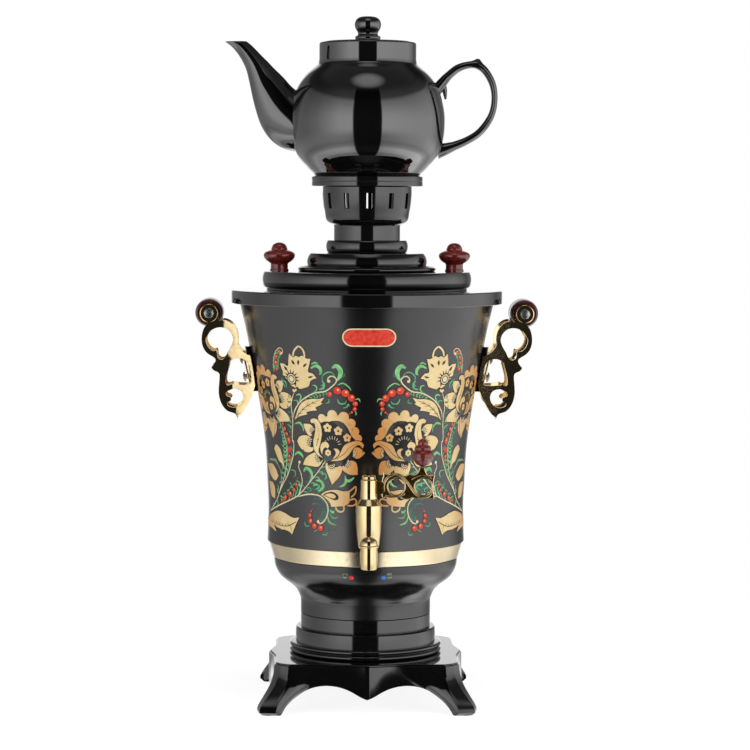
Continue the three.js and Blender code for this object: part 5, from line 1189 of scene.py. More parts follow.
def paintHalf():
    o = ornament
    painter = Painter()
    painter.bigFlower(*o["sideFlower"])
    for points in o["sidePetals"]:
        painter.fill("gold", points)
    painter.level = o["greensLevel"]
    for row in o["rows"]:
        painter.curls(*row)
    for i, (name, width, points) in enumerate(o["blades"]):
        painter.stroke(name, width * brush["blade"], 1, 1, points, blade=True, over=2 + i % 2)
    painter.level = o["goldLevel"]
    for stem in o["stems"]:
        painter.stroke(*stem)
    for name, points in o["fills"] + o["leaf"] + o["tulip"]:
        if name == "dark":
            painter.fill(name, points, over=3)
        else:
            painter.edged(name, points, o["edge"], 1)
    painter.fill(*o["tulip"][-1], over=4)
    for sepal in o["sepals"]:
        painter.stroke(*sepal, over=5)
    for (width, *shares), lines in o["veins"]:
        for points in lines:
            painter.stroke("dark", width * brush["vein"], *shares, points, over=5)
    # the heart of the flower at the top: a pale ring in a fan of dark teeth
    u, z, radius = o["heart"]
    painter.rays("dark", o["toothWidth"], 0.1, (u, z), radius, o["toothAngles"], o["toothShares"], 3)
    for name, share, over in o["heartRings"]:
        painter.disc(name, (u, z), radius * share, 20, over)
    painter.level = o["topLevel"]
    painter.bigFlower()
    for chain in o["berries"]:
        painter.berries(chain)
    # an unlettered plaque in the middle: a pale rim round a red field, half of it drawn as all the rest
    u, z, radius = o["plaque"]
    for name, reach, over in (("cream", radius, 0), ("berry", radius - o["plaqueRim"], 6)):
        end = [(x, y, 1) for x, y in arcLine((u, z), reach, -90, 90, 18)]
        painter.fill(name, [(0, z - reach, 1)] + end + [(0, z + reach, 1)], 1, over=over)
    for spot in o["buds"]:
        painter.disc("cream", spot, o["budRadius"], 14, 1)
    return painter


def makeOrnament():
    # cut into narrow strips so that the paint follows the round wall, then mirrored and laid on it
    i = ink
    cuts = [((k * i["cell"], 0, 0), (1, 0, 0)) for k in range(int(i["reach"] / i["cell"]) + 1)]
    cuts += [((0, 0, i["low"] + k * i["rise"]),
              (0, 0, 1)) for k in range(int((i["high"] - i["low"]) / i["rise"]))]
    for name, bm in paintHalf().sheets.items():
        bmesh.ops.triangulate(bm, faces=bm.faces)
        for place, normal in cuts:
            bmesh.ops.bisect_plane(bm, geom=everything(bm), dist=1e-5, plane_co=place, plane_no=normal)
        bmesh.ops.mirror(bm, geom=everything(bm), matrix=Matrix.Identity(4), merge_dist=0, axis="X")
        bm.normal_update()
        bmesh.ops.reverse_faces(bm, faces=[face for face in bm.faces if face.normal.y > 0])
        for vert in bm.verts:
            u, lift, z = vert.co
            angle = u / i["wallRadius"]
            radius = tankRadius(z) - lift
            vert.co = (radius * math.sin(angle), -radius * math.cos(angle), z)
        addPiece("ornament_" + name, centred(bm), i["finishes"][name], "vessel", "black_paint", flat=True,
                 sharp=60)


makeOrnament()
print("ornament painted")

# rim, lid, stack and plate: one turned profile each
turned = {
    "rimRing": {
        "profile": [(98.8, 297.0), (101.2, 297.0), (101.6, 297.5), (101.6, 305.6), (101.2, 306.6),
                    (100.4, 307.0), (74.0, 307.0), (74.0, 304.3), (98.8, 304.3)],
        "node": "rim_ring", "body": "vessel", "rounding": 0.25, "steps": 128,
    },
    "lidCover": {
        "profile": [(69.1, 299.0), (72.9, 299.0), (72.9, 307.1), (75.2, 307.1), (75.4, 308.6), (76.5, 308.9)]
        + arcLine((65.4, 314.9), 13.0, -25, 25, 10)
        + [(76.4, 320.9), (74.6, 321.0), (21.0, 321.0), (21.0, 318.5), (69.1, 318.5)],
        "node": "lid_cover", "body": "lid", "rounding": 0.2, "steps": 128,
    },
    "stackBase": {
        "profile": [(44.0, 321.0)] + arcLine((50.2, 322.5), 1.55, -80, 90, 7)
        + [(49.6, 324.6), (47.2, 324.7), (46.9, 325.0), (44.5, 325.2)]
        + arcLine((34.8, 327.6), 10.2, -8, 40, 8)
        + [(41.6, 334.4), (29.0, 334.5), (29.5, 334.7)] + arcLine((20.7, 339.2), 10.0, -24, 24, 8)
        + [(29.4, 343.8), (28.2, 344.0), (22.0, 344.0), (22.0, 331.4), (38.6, 331.4)],
        "node": "stack_base", "body": "lid", "rounding": 0.0, "steps": 96,
    },
    "potPlate": {
        "profile": [(28.3, 381.0), (30.7, 381.0), (30.7, 384.0), (41.2, 384.0), (41.6, 384.5), (41.6, 387.5),
                    (41.35, 387.75), (41.6, 388.0), (41.6, 390.9), (41.0, 391.5), (20.5, 391.5),
                    (20.5, 384.0), (28.3, 384.0)],
        "node": "pot_plate", "body": "lid", "rounding": 0.15, "steps": 96,
    },
}


def makeTurned():
    for name, t in turned.items():
        ring = centred(spun(t["profile"], t["steps"], t["rounding"]))
        addPiece(name, ring, "glossAbs", t["body"], "black_plastic", [t["node"]])


makeTurned()

# crown: a neck that opens into a cup with upright steam slots
crown = {
    "outer": [(24.8, 344.0), (24.8, 354.2), (25.3, 355.4)]
    + smoothLine([(27.2, 355.9), (29.6, 357.4), (31.0, 360.0), (31.7, 364.5), (32.5, 368.8), (33.0, 373),
                  (33.4, 378)], 3)
    + [(33.4, 383.6), (33.0, 384.0)],
    "inner": [(31.0, 384.0), (31.0, 378), (30.4, 371), (29.2, 364.5), (28.0, 361.0), (22.4, 358.2),
              (22.4, 344.0)],
    "steps": 144, "rounding": 0.15, "sharp": 38,
    # one bar through the cup cuts two slots that face each other
    "slots": 12, "slotTurn": 1.4, "bar": ((-2.05, -40.0, 367.5), (2.05, 40.0, 379.0)), "barRounding": 0.35,
}


def slotBars():
    c = crown
    cutter = bmesh.new()
    for i in range(c["slots"] // 2):
        bar = boxShape(*c["bar"], c["barRounding"], 2)
        cutter = merged(cutter, turn(bar, 360 / c["slots"] * i + c["slotTurn"], "Z"))
    centred(cutter)
    bmesh.ops.scale(cutter, verts=cutter.verts, vec=(0.001, 0.001, 0.001))
    mesh = bpy.data.meshes.new("slotBars")
    cutter.to_mesh(mesh)
    cutter.free()
    bars = bpy.data.objects.new("slotBars", mesh)
    bpy.context.scene.collection.objects.link(bars)
    return bars


def makeCrown():
    c = crown
    cup = centred(spun(c["outer"] + c["inner"], c["steps"], c["rounding"]))
    shape = addPiece("crownCup", cup, "glossAbs", "lid", "black_plastic", ["crown"])
    bars = slotBars()
    cut = shape.modifiers.new("slots", "BOOLEAN")
    cut.operation = "DIFFERENCE"
    cut.solver = "EXACT"
    cut.use_self = True
    cut.object = bars
    shape.modifiers.move(1, 0)
    graph = bpy.context.evaluated_depsgraph_get()
    baked = bpy.data.meshes.new_from_object(shape.evaluated_get(graph))
    shape.modifiers.clear()
    shape.data = baked
    baked.set_sharp_from_angle(angle=math.radians(c["sharp"]))
    weighted = shape.modifiers.new("weighted", "WEIGHTED_NORMAL")
    weighted.keep_sharp = True
    bpy.data.objects.remove(bars)


makeCrown()
print("lid stack made")


def onFoot(bm, node):
    # to the middle of a CAD node, standing on its lowest height
    low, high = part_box(node)
    middle = (low + high) * 500
    return move(bm, middle.x, middle.y, low.z * 1000)


# lid knobs, turned in wood
knob = {
    "profile": [(0, 0), (7.0, 0), (7.0, 0.8), (6.5, 1.4), (6.4, 4.6), (6.9, 5.6), (8.6, 6.6)]
    + smoothLine([(9.9, 7.6), (11.2, 9.3), (11.8, 11.2), (11.3, 12.9), (9.7, 14.2), (7.6, 15.0),
                  (6.2, 15.5)], 3)
    + [(6.0, 15.7), (6.1, 16.1)]
    + smoothLine([(5.7, 17.2), (4.9, 18.9), (3.4, 20.2), (1.5, 20.9)], 3) + [(0, 21.0)],
    "steps": 48,
}


def makeKnobs():
    for name in ("left", "right"):
        node = "lid_knob_" + name
        bm = onFoot(spun(knob["profile"], knob["steps"]), node)
        addPiece("lidKnob_" + name, bm, "lacqueredWoodUpright", "lid", "red_wood", [node])


makeKnobs()

# teapot: glazed body, spout, strap handle and lid; heights are from its foot, lists run outwards or upwards
teapot = {
    "foot": 391.5, "steps": 112, "wall": 3.0, "innerHeights": (5, 80), "inside": 4.5,
    "footRing": [(0, 1.2), (36.0, 1.2), (36.0, 0), (38.6, 0), (39.3, 0.5)],
    "body": [(40.4, 1.7), (43.2, 4.4), (45.9, 7.3), (49.0, 10.6), (53.0, 16.1), (55.7, 22.9), (57.3, 30.7),
             (57.9, 39.5), (57.6, 47.3), (56.2, 55.1), (53.9, 62.9), (51.0, 68.8), (47.9, 73.2),
             (44.6, 76.8), (41.2, 79.7), (38.6, 81.8), (37.0, 83.5), (36.5, 85.6)],
    "collar": [(36.3, 86.6), (36.3, 97.6)] + arcLine((34.9, 98.0), 1.4, 10, 90, 4)
    + [(33.5, 99.4), (33.3, 98.5), (30.4, 98.5), (30.4, 86.0)],
    # spout: far side, near side and half the width of each ring
    "spoutFar": [(50.0, 17.6), (59.4, 19.1), (66.9, 22.4), (73.4, 28.0), (79.1, 36.6), (82.8, 46.9),
                 (85.6, 57.4), (88.3, 70.1), (90.8, 79.6), (95.7, 88.9), (101.2, 95.6), (106.3, 99.2)],
    "spoutNear": [(40.0, 51.0), (46.0, 57.0), (51.4, 62.4), (56.9, 67.0), (61.0, 71.6), (64.9, 75.6),
                  (69.2, 79.6), (74.0, 84.6), (78.2, 88.7), (82.4, 93.0), (86.2, 96.8), (89.4, 99.4)],
    "spoutHalf": [18.0, 17.2, 15.8, 14.2, 12.6, 11.2, 10.0, 9.0, 8.2, 7.4, 6.8, 6.3],
    "spoutWall": 2.0, "spoutSides": 28, "innerRings": 8,
    # the rounded lip as (how far in, how far down)
    "lip": ((0.5, -0.35), (1.2, -0.4), (1.8, 0.1)),
    # handle: middle line, half its depth and half its width
    "handle": [(51.0, 64.0), (56.4, 70.9), (60.6, 75.4), (66.9, 80.4), (74.0, 82.9), (80.4, 83.1),
               (85.8, 80.5), (90.2, 75.0), (93.2, 68.6), (94.5, 61.8), (94.4, 54.4), (92.8, 47.0),
               (88.8, 39.4), (82.3, 32.0), (73.8, 26.7), (64.8, 22.9), (57.6, 20.4), (51.6, 18.8)],
    "handleHalf": [4.6, 3.7, 3.2, 3.1, 2.8, 2.9, 2.9, 2.7, 2.6, 2.4, 2.4, 2.5, 2.8, 2.9, 3.0, 3.5, 4.8, 6.2],
    "handleWide": [7.0, 6.2, 5.8, 5.6, 5.5, 5.4, 5.2, 5.0, 5.0, 5.0, 5.0, 5.0, 5.1, 5.3, 5.6, 5.9, 6.4, 7.0],
    "handleSides": 24, "handlePower": 0.85,
    # the thumb point: its place in the list above, how far it spreads and rises, and how it falls off aside
    "thumb": 5.15, "thumbSpread": 0.36, "thumbRise": 2.6, "thumbFall": 0.5,
    "spur": [(56.2, 67.6), (57.4, 64.0), (57.9, 60.4), (58.1, 57.4)],
    "spurHalf": 2.6, "spurTaper": 0.72, "spurSides": 14,
    "lid": [(0, 97.3), (27.6, 98.8), (27.6, 90.8), (29.8, 90.8), (29.8, 98.8), (33.0, 98.8), (33.0, 99.3),
            (32.2, 100.0), (12.0, 101.4)],
    "knobFoot": 101.9, "lidSteps": 80, "lidRounding": 0.2,
    "knob": [(9.3, 0), (9.6, 0.9), (9.3, 1.9), (8.0, 2.8), (7.4, 3.8), (7.9, 5.4), (9.2, 7.5), (9.85, 10.1),
             (9.6, 12.6), (8.4, 14.8), (6.2, 16.3), (3.2, 16.9), (0, 17.05)],
}


def addGlazed(name, bm, node, **more):
    # a glazed piece of the teapot, raised from its own foot
    body = "teapot_lid" if name == "teapotLid" else "teapot"
    addPiece(name, centred(move(bm, z=teapot["foot"])), "blackGlaze", body, "black_glaze", [node], **more)


def makePot():
    t = teapot
    body = smoothLine(t["body"], 3)
    low, high = t["innerHeights"]
    inner = [(r - t["wall"], z) for r, z in reversed(body) if low < z < high] + [(0, t["inside"])]
    addGlazed("teapotBody", spun(t["footRing"] + body + t["collar"] + inner, t["steps"]), "teapot_body")


def makeSpout():
    t = teapot
    halves = [half for half, i in smoothLine([(half, i) for i, half in enumerate(t["spoutHalf"])], 3)]
    sections = []
    for far, near, half in zip(smoothLine(t["spoutFar"], 3), smoothLine(t["spoutNear"], 3), halves):
        a, b = Vector((-far[0], 0, far[1])), Vector((-near[0], 0, near[1]))
        sections.append(((a + b) / 2, (b - a).normalized(), (b - a).length / 2, half))

    def ring(section, narrow, drop):
        middle, across, deep, half = section
        return ovalRing(middle - Vector((0, 0, drop)), across, deep - narrow, (0, 1, 0), half - narrow,
                        t["spoutSides"])

    rings = [ring(section, 0, 0) for section in sections]
    # over the lip and down inside
    rings += [ring(sections[-1], narrow, drop) for narrow, drop in t["lip"]]
    rings += [ring(section, t["spoutWall"], 0) for section in reversed(sections[-1 - t["innerRings"]:-1])]
    addGlazed("teapotSpout", swept(rings), "teapot_spout", sharp=60)


def makePotHandle():
    t = teapot
    # an oval strap with a thumb point at the top, and a spur inside the upper root
    line = smoothLine(t["handle"], 4)
    rings = []
    for i, (x, z) in enumerate(line):
        along = heading(line, i).normalized()
        outward = Vector((-along.y, 0, along.x))
        place = i / (len(line) - 1) * (len(t["handle"]) - 1)
        thick, wide = (lookUp(list(enumerate(t[name])), place) for name in ("handleHalf", "handleWide"))
        middle = Vector((x, 0, z))
        ring = ovalRing(middle, outward, thick, (0, 1, 0), wide, t["handleSides"], t["handlePower"])
        peak = math.exp(-((place - t["thumb"]) / t["thumbSpread"]) ** 2) * t["thumbRise"]
        for p in ring:
            height = max(0.0, (p - middle).dot(outward) / thick)
            p += outward * peak * height ** 2 * (1 - t["thumbFall"] * abs(p.y) / wide)
        rings.append(ring)
    spur = tube([(x, 0, z) for x, z in t["spur"]], t["spurHalf"], t["spurSides"],
                lambda s: 1.0 - t["spurTaper"] * s)
    addGlazed("teapotHandle", merged(swept(rings), spur), "teapot_handle", sharp=60)


def makePotLid():
    t = teapot
    profile = t["lid"] + raised(smoothLine(t["knob"], 3), t["knobFoot"])
    addGlazed("teapotLid", spun(profile, t["lidSteps"], t["lidRounding"]), "teapot_lid")


makePot()
makeSpout()
makePotHandle()
makePotLid()
print("teapot made")

# tap: barrel on the key's axis with the nozzle and its ring a little in front of it, flange and shank lie
# across to the tank's wall
tapLow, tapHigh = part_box("tap_cap")
tap = {
    "x": (tapLow.x + tapHigh.x) * 500, "y": (tapLow.y + tapHigh.y) * 500, "height": 141.0,
    "barrel": smoothLine([(0, 123.4), (3.6, 123.6), (6.4, 125.0), (7.6, 127.4), (8.2, 131.0), (8.9, 137.0),
                          (9.25, 144.0), (9.35, 151.0), (9.3, 156.0)], 3)
    + [(9.0, 156.5), (6.3, 160.4), (5.7, 160.6), (0, 160.5)],
    "nozzle": [(4.4, 111.0), (5.4, 111.0), (5.9, 111.6), (6.2, 116.0), (6.25, 128.0), (6.1, 129.6)]
    + arcLine((0.35, 128.8), 5.9, 8, 88, 6) + [(0.0, 134.75), (0.0, 129.0), (4.4, 126.0)],
    "nozzleRing": [(6.15, 126.6), (6.75, 126.9), (6.9, 127.5), (6.75, 128.1), (6.15, 128.4)],
    "nozzleForward": 8.0,
    "flange": [(0, 0), (8.6, 0), (8.8, 0.5), (8.8, 2.2), (8.0, 2.9), (6.0, 3.6), (5.4, 5.6)],
    "flangeEnd": 5.3, "flangeDepth": 1.6, "flangeRounding": 0.2,
    "shank": [(3.0, 0), (5.0, 0), (5.0, 16), (3.0, 16)], "shankDepth": 2.5, "shankRounding": 0.3,
    "key": [(0, 160.4), (5.5, 160.4), (5.9, 160.9), (5.9, 173.8), (5.4, 174.6), (0, 174.6)],
    "keyRounding": 0.15,
    "cap": [(0, 174.4), (4.2, 174.4), (4.85, 175.2), (4.95, 176.3), (4.4, 177.6), (3.0, 178.15), (0, 178.2)],
}


def addOnTap(name, bm, finishName, body, nodes=(), **more):
    addPiece(name, move(bm, tap["x"], tap["y"]), finishName, body, "polished_brass", nodes, **more)


def makeTap():
    t = tap
    barrel = spun(t["barrel"], 64)
    nozzle = move(spun(t["nozzle"], 56), y=-t["nozzleForward"])
    ring = move(spun(t["nozzleRing"], 56), y=-t["nozzleForward"])
    reach = -t["y"] + axisY - tankRadius(t["height"])
    flange = spun(t["flange"] + [(t["flangeEnd"], reach), (0, reach)], 48, t["flangeRounding"])
    move(turn(flange, 90, "X"), y=reach - t["flangeDepth"], z=t["height"])
    shank = spun(t["shank"], 32, t["shankRounding"])
    move(turn(shank, -90, "X"), y=reach - t["shankDepth"], z=t["height"])
    body = merged(barrel, nozzle, ring, flange, shank)
    addOnTap("tapBody", body, "polishedGold", "vessel", ["tap_body"], sharp=50)
    addOnTap("tapKey", spun(t["key"], 56, t["keyRounding"]), "polishedGold", "tap_key", ["tap_key"])
    addOnTap("tapCap", spun(smoothLine(t["cap"], 2), 48), "polishedGold", "tap_key", ["tap_cap"])


makeTap()

# the key's plate: two round windows, a double ridge winding between them, pointed corners
keyPlate = {
    # (aside, height) from the tap's axis and the table; a third value of 1 marks a corner
    "outline": [(9.4, 164.0), (9.8, 161.6, 1), (12.5, 162.3), (16.5, 161.6), (22.0, 162.2), (25.2, 161.0),
                (28.0, 160.6), (31.0, 161.8), (36.0, 160.9), (41.5, 161.6), (46.6, 160.8, 1), (46.0, 166.0),
                (45.9, 172.0), (47.0, 178.2, 1), (43.0, 177.2), (40.6, 179.6), (39.7, 182.9, 1),
                (36.4, 182.9, 1), (35.0, 179.8), (32.0, 177.8), (28.8, 178.4), (26.2, 177.2), (22.4, 177.8),
                (18.0, 178.6), (13.0, 178.3), (10.7, 180.1, 1), (10.4, 176.0), (9.6, 173.8)],
    "holes": [(19.6, 169.5), (38.9, 169.5)], "hole": 5.9, "holeSides": 40, "thickness": 2.4,
    "rounding": 0.35,
    "tab": ((5.6, -1.5, 164.2), (10.6, 1.5, 173.2)), "tabRounding": 0.5,
    "rim": [(5.75, -1.75), (6.9, -1.75), (6.9, 1.75), (5.75, 1.75)], "rimRounding": 0.45,
    "ridge": [(11.3, 166.0), (11.2, 171.2), (13.6, 175.8), (18.0, 177.9), (22.6, 176.9), (26.2, 173.4),
              (29.2, 169.4), (32.2, 165.2), (36.0, 162.3), (40.6, 161.8), (44.6, 164.2), (45.8, 168.6)],
    "lowerRidge": [(11.6, 163.4), (15.0, 162.9), (19.8, 162.6), (23.6, 163.2), (26.2, 164.6)],
    "upperRidge": [(30.4, 174.4), (33.2, 176.4), (37.6, 177.6), (42.0, 176.9), (45.2, 175.2)],
    # ridges as (line, how far it stands from the plate's middle, radius); the twin runs beside the first
    "ridges": [("ridge", 1.25, 0.55), ("twin", 1.2, 0.34), ("lowerRidge", 1.25, 0.4),
               ("upperRidge", 1.25, 0.4)],
    "twinGap": 1.05, "ridgeEnd": 0.25, "ridgeRate": 6, "ridgeSides": 8,
    "edgeOut": 1.15, "edgeRadius": 0.28, "edgeSides": 6,
}
finial = {
    "profile": [(0, 0), (2.2, 0), (2.6, 0.6), (4.6, 1.6), (6.0, 3.4), (6.2, 3.7), (7.2, 5.0), (7.95, 7.2),
                (8.0, 8.6), (7.4, 10.4), (6.2, 11.6), (5.7, 11.9), (5.9, 12.4), (5.8, 13.8), (4.9, 15.0),
                (3.6, 15.5), (3.7, 16.0), (3.5, 17.8), (2.3, 19.3), (0.9, 19.95), (0, 20.0)],
    "steps": 48,
}


def ridgeTaper(share):
    k = keyPlate
    return min(1.0, k["ridgeEnd"] + k["ridgeRate"] * share, k["ridgeEnd"] + k["ridgeRate"] * (1 - share))


def keyRidges():
    k = keyPlate
    shapes = []
    for x, z in k["holes"]:
        shapes.append(move(turn(spun(k["rim"], 48, k["rimRounding"]), 90, "X"), x, 0, z))
    lines = {name: smoothLine(k[name], 5) for name in ("ridge", "lowerRidge", "upperRidge")}
    ways = [heading(lines["ridge"], i).normalized() * k["twinGap"] for i in range(len(lines["ridge"]))]
    lines["twin"] = [(x - way.y, z + way.x) for (x, z), way in zip(lines["ridge"], ways)]
    edge = smoothLine(k["outline"], 4, closed=True)
    for side in (-1, 1):
        for name, out, radius in k["ridges"]:
            shapes.append(tube([(x, side * out, z) for x, z in lines[name]], radius, k["ridgeSides"],
                ridgeTaper))
        around = [(x, side * k["edgeOut"], z) for x, z in edge + edge[:1]]
        shapes.append(tube(around, k["edgeRadius"], k["edgeSides"]))
    return merged(*shapes)


def makeKeyPlate():
    k = keyPlate
    holes = [arcLine(centre, k["hole"], 0, 360, k["holeSides"])[:-1] for centre in k["holes"]]
    field = plate(smoothLine(k["outline"], 4, closed=True), holes, k["thickness"], k["rounding"])
    whole = merged(field, boxShape(*k["tab"], k["tabRounding"]))
    addOnTap("tapKeyPlate", whole, "darkBronze", "tap_key", ["tap_key_plate"], sharp=40)
    addOnTap("tapKeyRidges", keyRidges(), "polishedGold", "tap_key", sharp=50)
    bm = onFoot(spun(smoothLine(finial["profile"], 2), finial["steps"]), "tap_finial")
    addPiece("tapFinial", bm, "lacqueredWoodUpright", "tap_key", "red_wood", ["tap_finial"], sharp=60)


makeKeyPlate()
print("tap made")

# side handles: two pierced cheeks joined by a web against a pad on the wall, and a wooden grip on a bolt
bracket = {
    # (towards the wall, height) from the middle of the grip; a third value of 1 marks a corner
    "outline": [(-1.7, -7.4), (-4.0, -11.6), (-5.3, -16.9), (-5.2, -22.2), (-3.6, -26.8), (-0.7, -30.1),
                (3.0, -32.4), (4.8, -34.1), (4.3, -36.9), (1.7, -40.1, 1), (3.6, -42.4), (7.2, -44.2),
                (7.9, -47.3), (7.4, -54.0), (7.3, -59.2), (8.3, -64.5), (10.6, -69.2), (13.9, -72.5),
                (17.9, -73.9), (20.0, -75.2), (21.3, -78.4, 1), (22.4, -76.4), (25.2, -73.6), (28.9, -67.2),
                (32.2, -60.6, 1), (34.2, -54.0, 1), (32.6, -40.7, 1), (31.0, -31.6, 1), (28.0, -30.6),
                (24.2, -28.0), (21.2, -23.5), (21.3, -18.2), (20.2, -12.9), (17.2, -8.3), (13.9, -6.0),
                (10.6, -5.1), (8.3, -6.0, 1), (6.9, -3.2), (6.4, 2.0), (3.6, 5.6), (-1.0, 6.5), (-5.0, 4.2),
                (-6.6, 0.0), (-5.2, -4.2)],
    "ringHole": [(-2.3, -20.2), (-0.7, -24.8), (2.6, -27.8), (5.3, -27.5, 1), (6.0, -28.8), (6.3, -32.1),
                 (7.9, -34.0), (10.3, -34.2), (12.2, -32.4), (13.9, -28.8), (16.5, -24.2), (17.9, -19.5),
                 (16.5, -14.9), (12.6, -11.3), (7.3, -10.5), (2.0, -12.6), (-1.3, -16.9)],
    "middleHole": [(15.8, -36.2, 1), (14.6, -40.7), (13.2, -46.0), (12.6, -50.6), (13.2, -53.0),
                   (14.9, -53.4), (17.2, -52.5), (18.5, -53.0), (28.4, -53.4), (31.0, -50.6), (30.6, -44.0),
                   (29.0, -38.0), (26.0, -34.4), (21.6, -33.6), (18.2, -34.4)],
    "lowerHole": [(18.5, -55.9), (15.9, -56.9), (13.2, -58.2), (12.6, -59.9), (13.6, -61.4), (15.6, -62.0),
                  (16.7, -63.5), (15.9, -65.1), (13.9, -65.9), (13.6, -67.2), (14.6, -68.8), (17.2, -69.8),
                  (20.5, -69.5), (23.8, -67.2), (25.5, -63.2), (24.8, -59.2), (22.5, -56.9)],
    # a cheek's thickness and how far it stands from the middle; past the line from top to low it folds in
    "cheek": 3.2, "rounding": 0.55, "inside": 16.0,
    "foldTop": (10.6, -9.6), "foldLow": (19.8, -71.0), "foldSlope": 0.2,
    "boss": [(0, -0.2), (7.0, -0.2), (7.0, 3.4), (0, 3.4)], "bossRounding": 0.9,
}
wallPad = {
    # how far below the grip the pad starts and ends, and how far the bracket's face stands off the wall there
    "top": 24.8, "foot": 58.3, "stand": 4.0,
    # corners as (outwards from that face, height from the grip), width from front to rear, rounding
    "pad": [(-4.6, -24.8), (-1.0, -24.8), (-1.0, -58.3), (-5.2, -58.3)], "padWidth": 27.0,
    "padRounding": 0.8,
    "web": [(-0.9, -32.0), (0.7, -32.0), (0.7, -58.0), (-0.9, -58.0)], "webWidth": 24.0, "webRounding": 0.4,
}
gripLow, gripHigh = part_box("handle_grip_right")
grip = {
    "x": (gripLow.x + gripHigh.x) * 500, "z": (gripLow.z + gripHigh.z) * 500,
    # radius along the right half, from the middle to the end
    "half": [(10.2, 0), (10.3, 2.5), (10.7, 7.0), (10.4, 11.0), (9.6, 14.4), (8.9, 15.7)], "rounding": 0.5,
    "head": [(0, 0), (3.7, 0), (3.7, 0.5), (3.3, 1.1), (2.0, 1.4), (0, 1.45)], "headGap": 0.1,
    "headRounding": 0.1,
    "shaft": [(0, -19), (2.2, -19), (2.2, 19), (0, 19)],
}


def cheekPlate(front):
    b = bracket
    names = ("outline", "ringHole", "middleHole", "lowerHole")
    outline, *holes = [[(-x, z) for x, z in smoothLine(b[name], 4, closed=True)] for name in names]
    bm = plate(outline, holes, b["cheek"], b["rounding"])
    # the part towards the wall folds in towards the other cheek
    top, low = (Vector((-x, 0, z)) for x, z in (b["foldTop"], b["foldLow"]))
    down = (low - top).normalized()
    inward = Vector((down.z, 0, -down.x))
    bmesh.ops.bisect_plane(bm, geom=everything(bm), dist=1e-4, plane_co=top, plane_no=inward)
    for vert in bm.verts:
        past = (vert.co - top).dot(inward)
        if past > 0:
            vert.co.y += -front * past * b["foldSlope"]
    boss = spun(b["boss"], 48, b["bossRounding"])
    move(turn(boss, 90, "X"), y=b["cheek"] / 2)
    return merged(bm, boss)


def gripBolt():
    g = grip
    shapes = []
    for end in (-1, 1):
        head = turn(spun(g["head"], 32, g["headRounding"]), -90 * end, "X")
        shapes.append(move(head, g["x"], end * (bracket["inside"] + bracket["cheek"] + g["headGap"]),
                           g["z"]))
    shapes.append(move(turn(spun(g["shaft"], 24), 90, "X"), g["x"], 0, g["z"]))
    return merged(*shapes)


def makeHandles():
    b, g, w = bracket, grip, wallPad
    upper, lower = (tankRadius(g["z"] - below) + w["stand"] for below in (w["top"], w["foot"]))

    def leaning(name):
        # a plate that leans with the tank's wall
        corners = [(face + out, g["z"] + up) for face, (out, up) in zip((upper, upper, lower, lower),
            w[name])]
        return plate(corners, [], w[name + "Width"], w[name + "Rounding"])

    wood = [(r, -along) for r, along in reversed(g["half"][1:])] + g["half"]
    wood = smoothLine(wood, 3)
    wood = [(0, wood[0][1])] + wood + [(0, wood[-1][1])]
    for name, side in (("right", 1), ("left", -1)):
        out = b["inside"] + b["cheek"] / 2
        casting = [move(cheekPlate(front), g["x"], front * out, g["z"]) for front in (-1, 1)]
        casting.append(leaning("web"))
        handGrip = move(turn(spun(wood, 64, g["rounding"]), 90, "X"), g["x"], 0, g["z"])
        shapes = [
            ("handleBracket_", merged(*casting), "polishedGold", "polished_brass", "handle_bracket_"),
            ("handlePad_", leaning("pad"), "glossAbs", "black_plastic", "handle_pad_"),
            ("handleGrip_", handGrip, "lacqueredWoodAcross", "red_wood", "handle_grip_"),
            ("gripBolt_", gripBolt(), "turnedSteel", "steel", "grip_bolt_"),
        ]
        for label, bm, finishName, slotName, node in shapes:
            if side < 0:
                turn(bm, 180, "Z")
            addPiece(label + name, centred(bm), finishName, "vessel", slotName, [node + name], sharp=40)


makeHandles()
print("handles made")

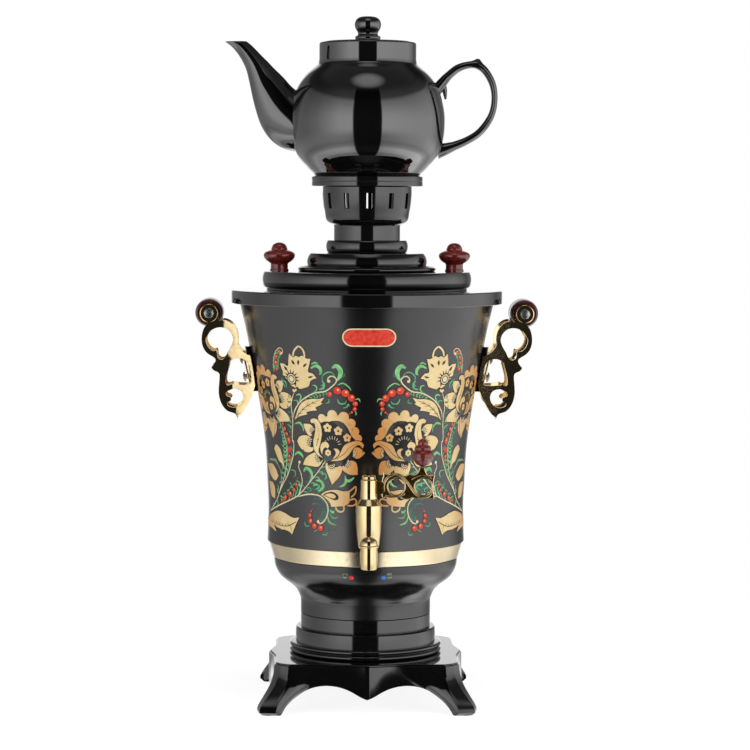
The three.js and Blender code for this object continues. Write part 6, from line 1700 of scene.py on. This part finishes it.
# lamps, and the signs printed beside them
lampLow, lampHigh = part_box("indicator_lamp_red")
indicator = {
    "x": 11.6, "z": (lampLow.z + lampHigh.z) * 500, "front": lampLow.y * 1000, "depth": 11.0,
    "lens": [(0, 0), (1.75, 0), (1.75, 9.0)] + arcLine((0, 9.2), 1.75, 5, 88, 6) + [(0, 10.95)],
    # (aside, above the lamps) of the power sign's ring, with the ring's radius, its gap and the bar in it
    "power": (-16.5, 1.4), "powerRadius": 1.7, "powerArc": (125, 415, 18), "powerBar": (0.1, 2.0),
    # the heat sign's three waves: their place, distance, height and swing
    "heat": (16.1, 1.4), "waveGap": 1.25, "waveHeight": 1.9, "wave": 0.3, "waveRate": 1.1, "wavePoints": 13,
    "line": 0.14, "lineSides": 6, "lineLift": 0.4,
}


def signLines():
    d = indicator
    (aside, up), (heatAside, heatUp) = d["power"], d["heat"]
    lines = [[(aside, up + end) for end in d["powerBar"]], arcLine(d["power"], d["powerRadius"],
        *d["powerArc"])]
    for k in (-1, 0, 1):
        middle = heatAside + d["waveGap"] * k
        half = (d["wavePoints"] - 1) / 2
        lines.append([(middle + d["wave"] * math.sin(i * d["waveRate"]),
                       heatUp + d["waveHeight"] * (i / half - 1))
                      for i in range(d["wavePoints"])])
    return lines


def makeIndicators():
    d = indicator
    for name, side in (("red", -1), ("blue", 1)):
        lens = turn(spun(d["lens"], 32), 90, "X")
        move(lens, side * d["x"], d["front"] + d["depth"], d["z"])
        addPiece("indicatorLens_" + name, lens, name + "Lens", "vessel", name + "_lens",
                 ["indicator_lamp_" + name])
    signs = merged(*[tube([(x, 0, z) for x, z in line], d["line"], d["lineSides"]) for line in signLines()])
    # laid on the round bowl
    bowl = [(height, radius) for radius, height in housing["outline"]]
    for vert in signs.verts:
        u, lift, height = vert.co.x, vert.co.y, d["z"] + vert.co.z
        radius = lookUp(bowl, height) - lift * d["lineLift"]
        vert.co = Vector((radius * math.sin(u / radius), axisY - radius * math.cos(u / radius), height))
    addPiece("panelSigns", signs, "creamInk", "vessel", "black_plastic")


makeIndicators()

# materials of the CAD nodes that show as they are
kept = {
    "texturedAbs": ["power_inlet", "switch_frame", "switch_rocker"],
    "solderMask": ["indicator_board"],
    "mouldedRubber": ["lid_gasket", "tap_gasket"],
    "turnedSteel": ["heating_element", "heater_clamp", "thermostat", "tap_nut"]
    + ["lid_knob_screw_" + side for side in ("left", "right")]
    + ["handle_screw_" + side + end for side in ("left_", "right_") for end in ("upper", "lower")],
}


def dressNodes():
    for finishName, names in kept.items():
        for name in names:
            mesh = nodes[name].data
            mesh.materials.clear()
            mesh.materials.append(finish[finishName])


dressNodes()

bpy.context.scene.view_settings.view_transform = "Standard"
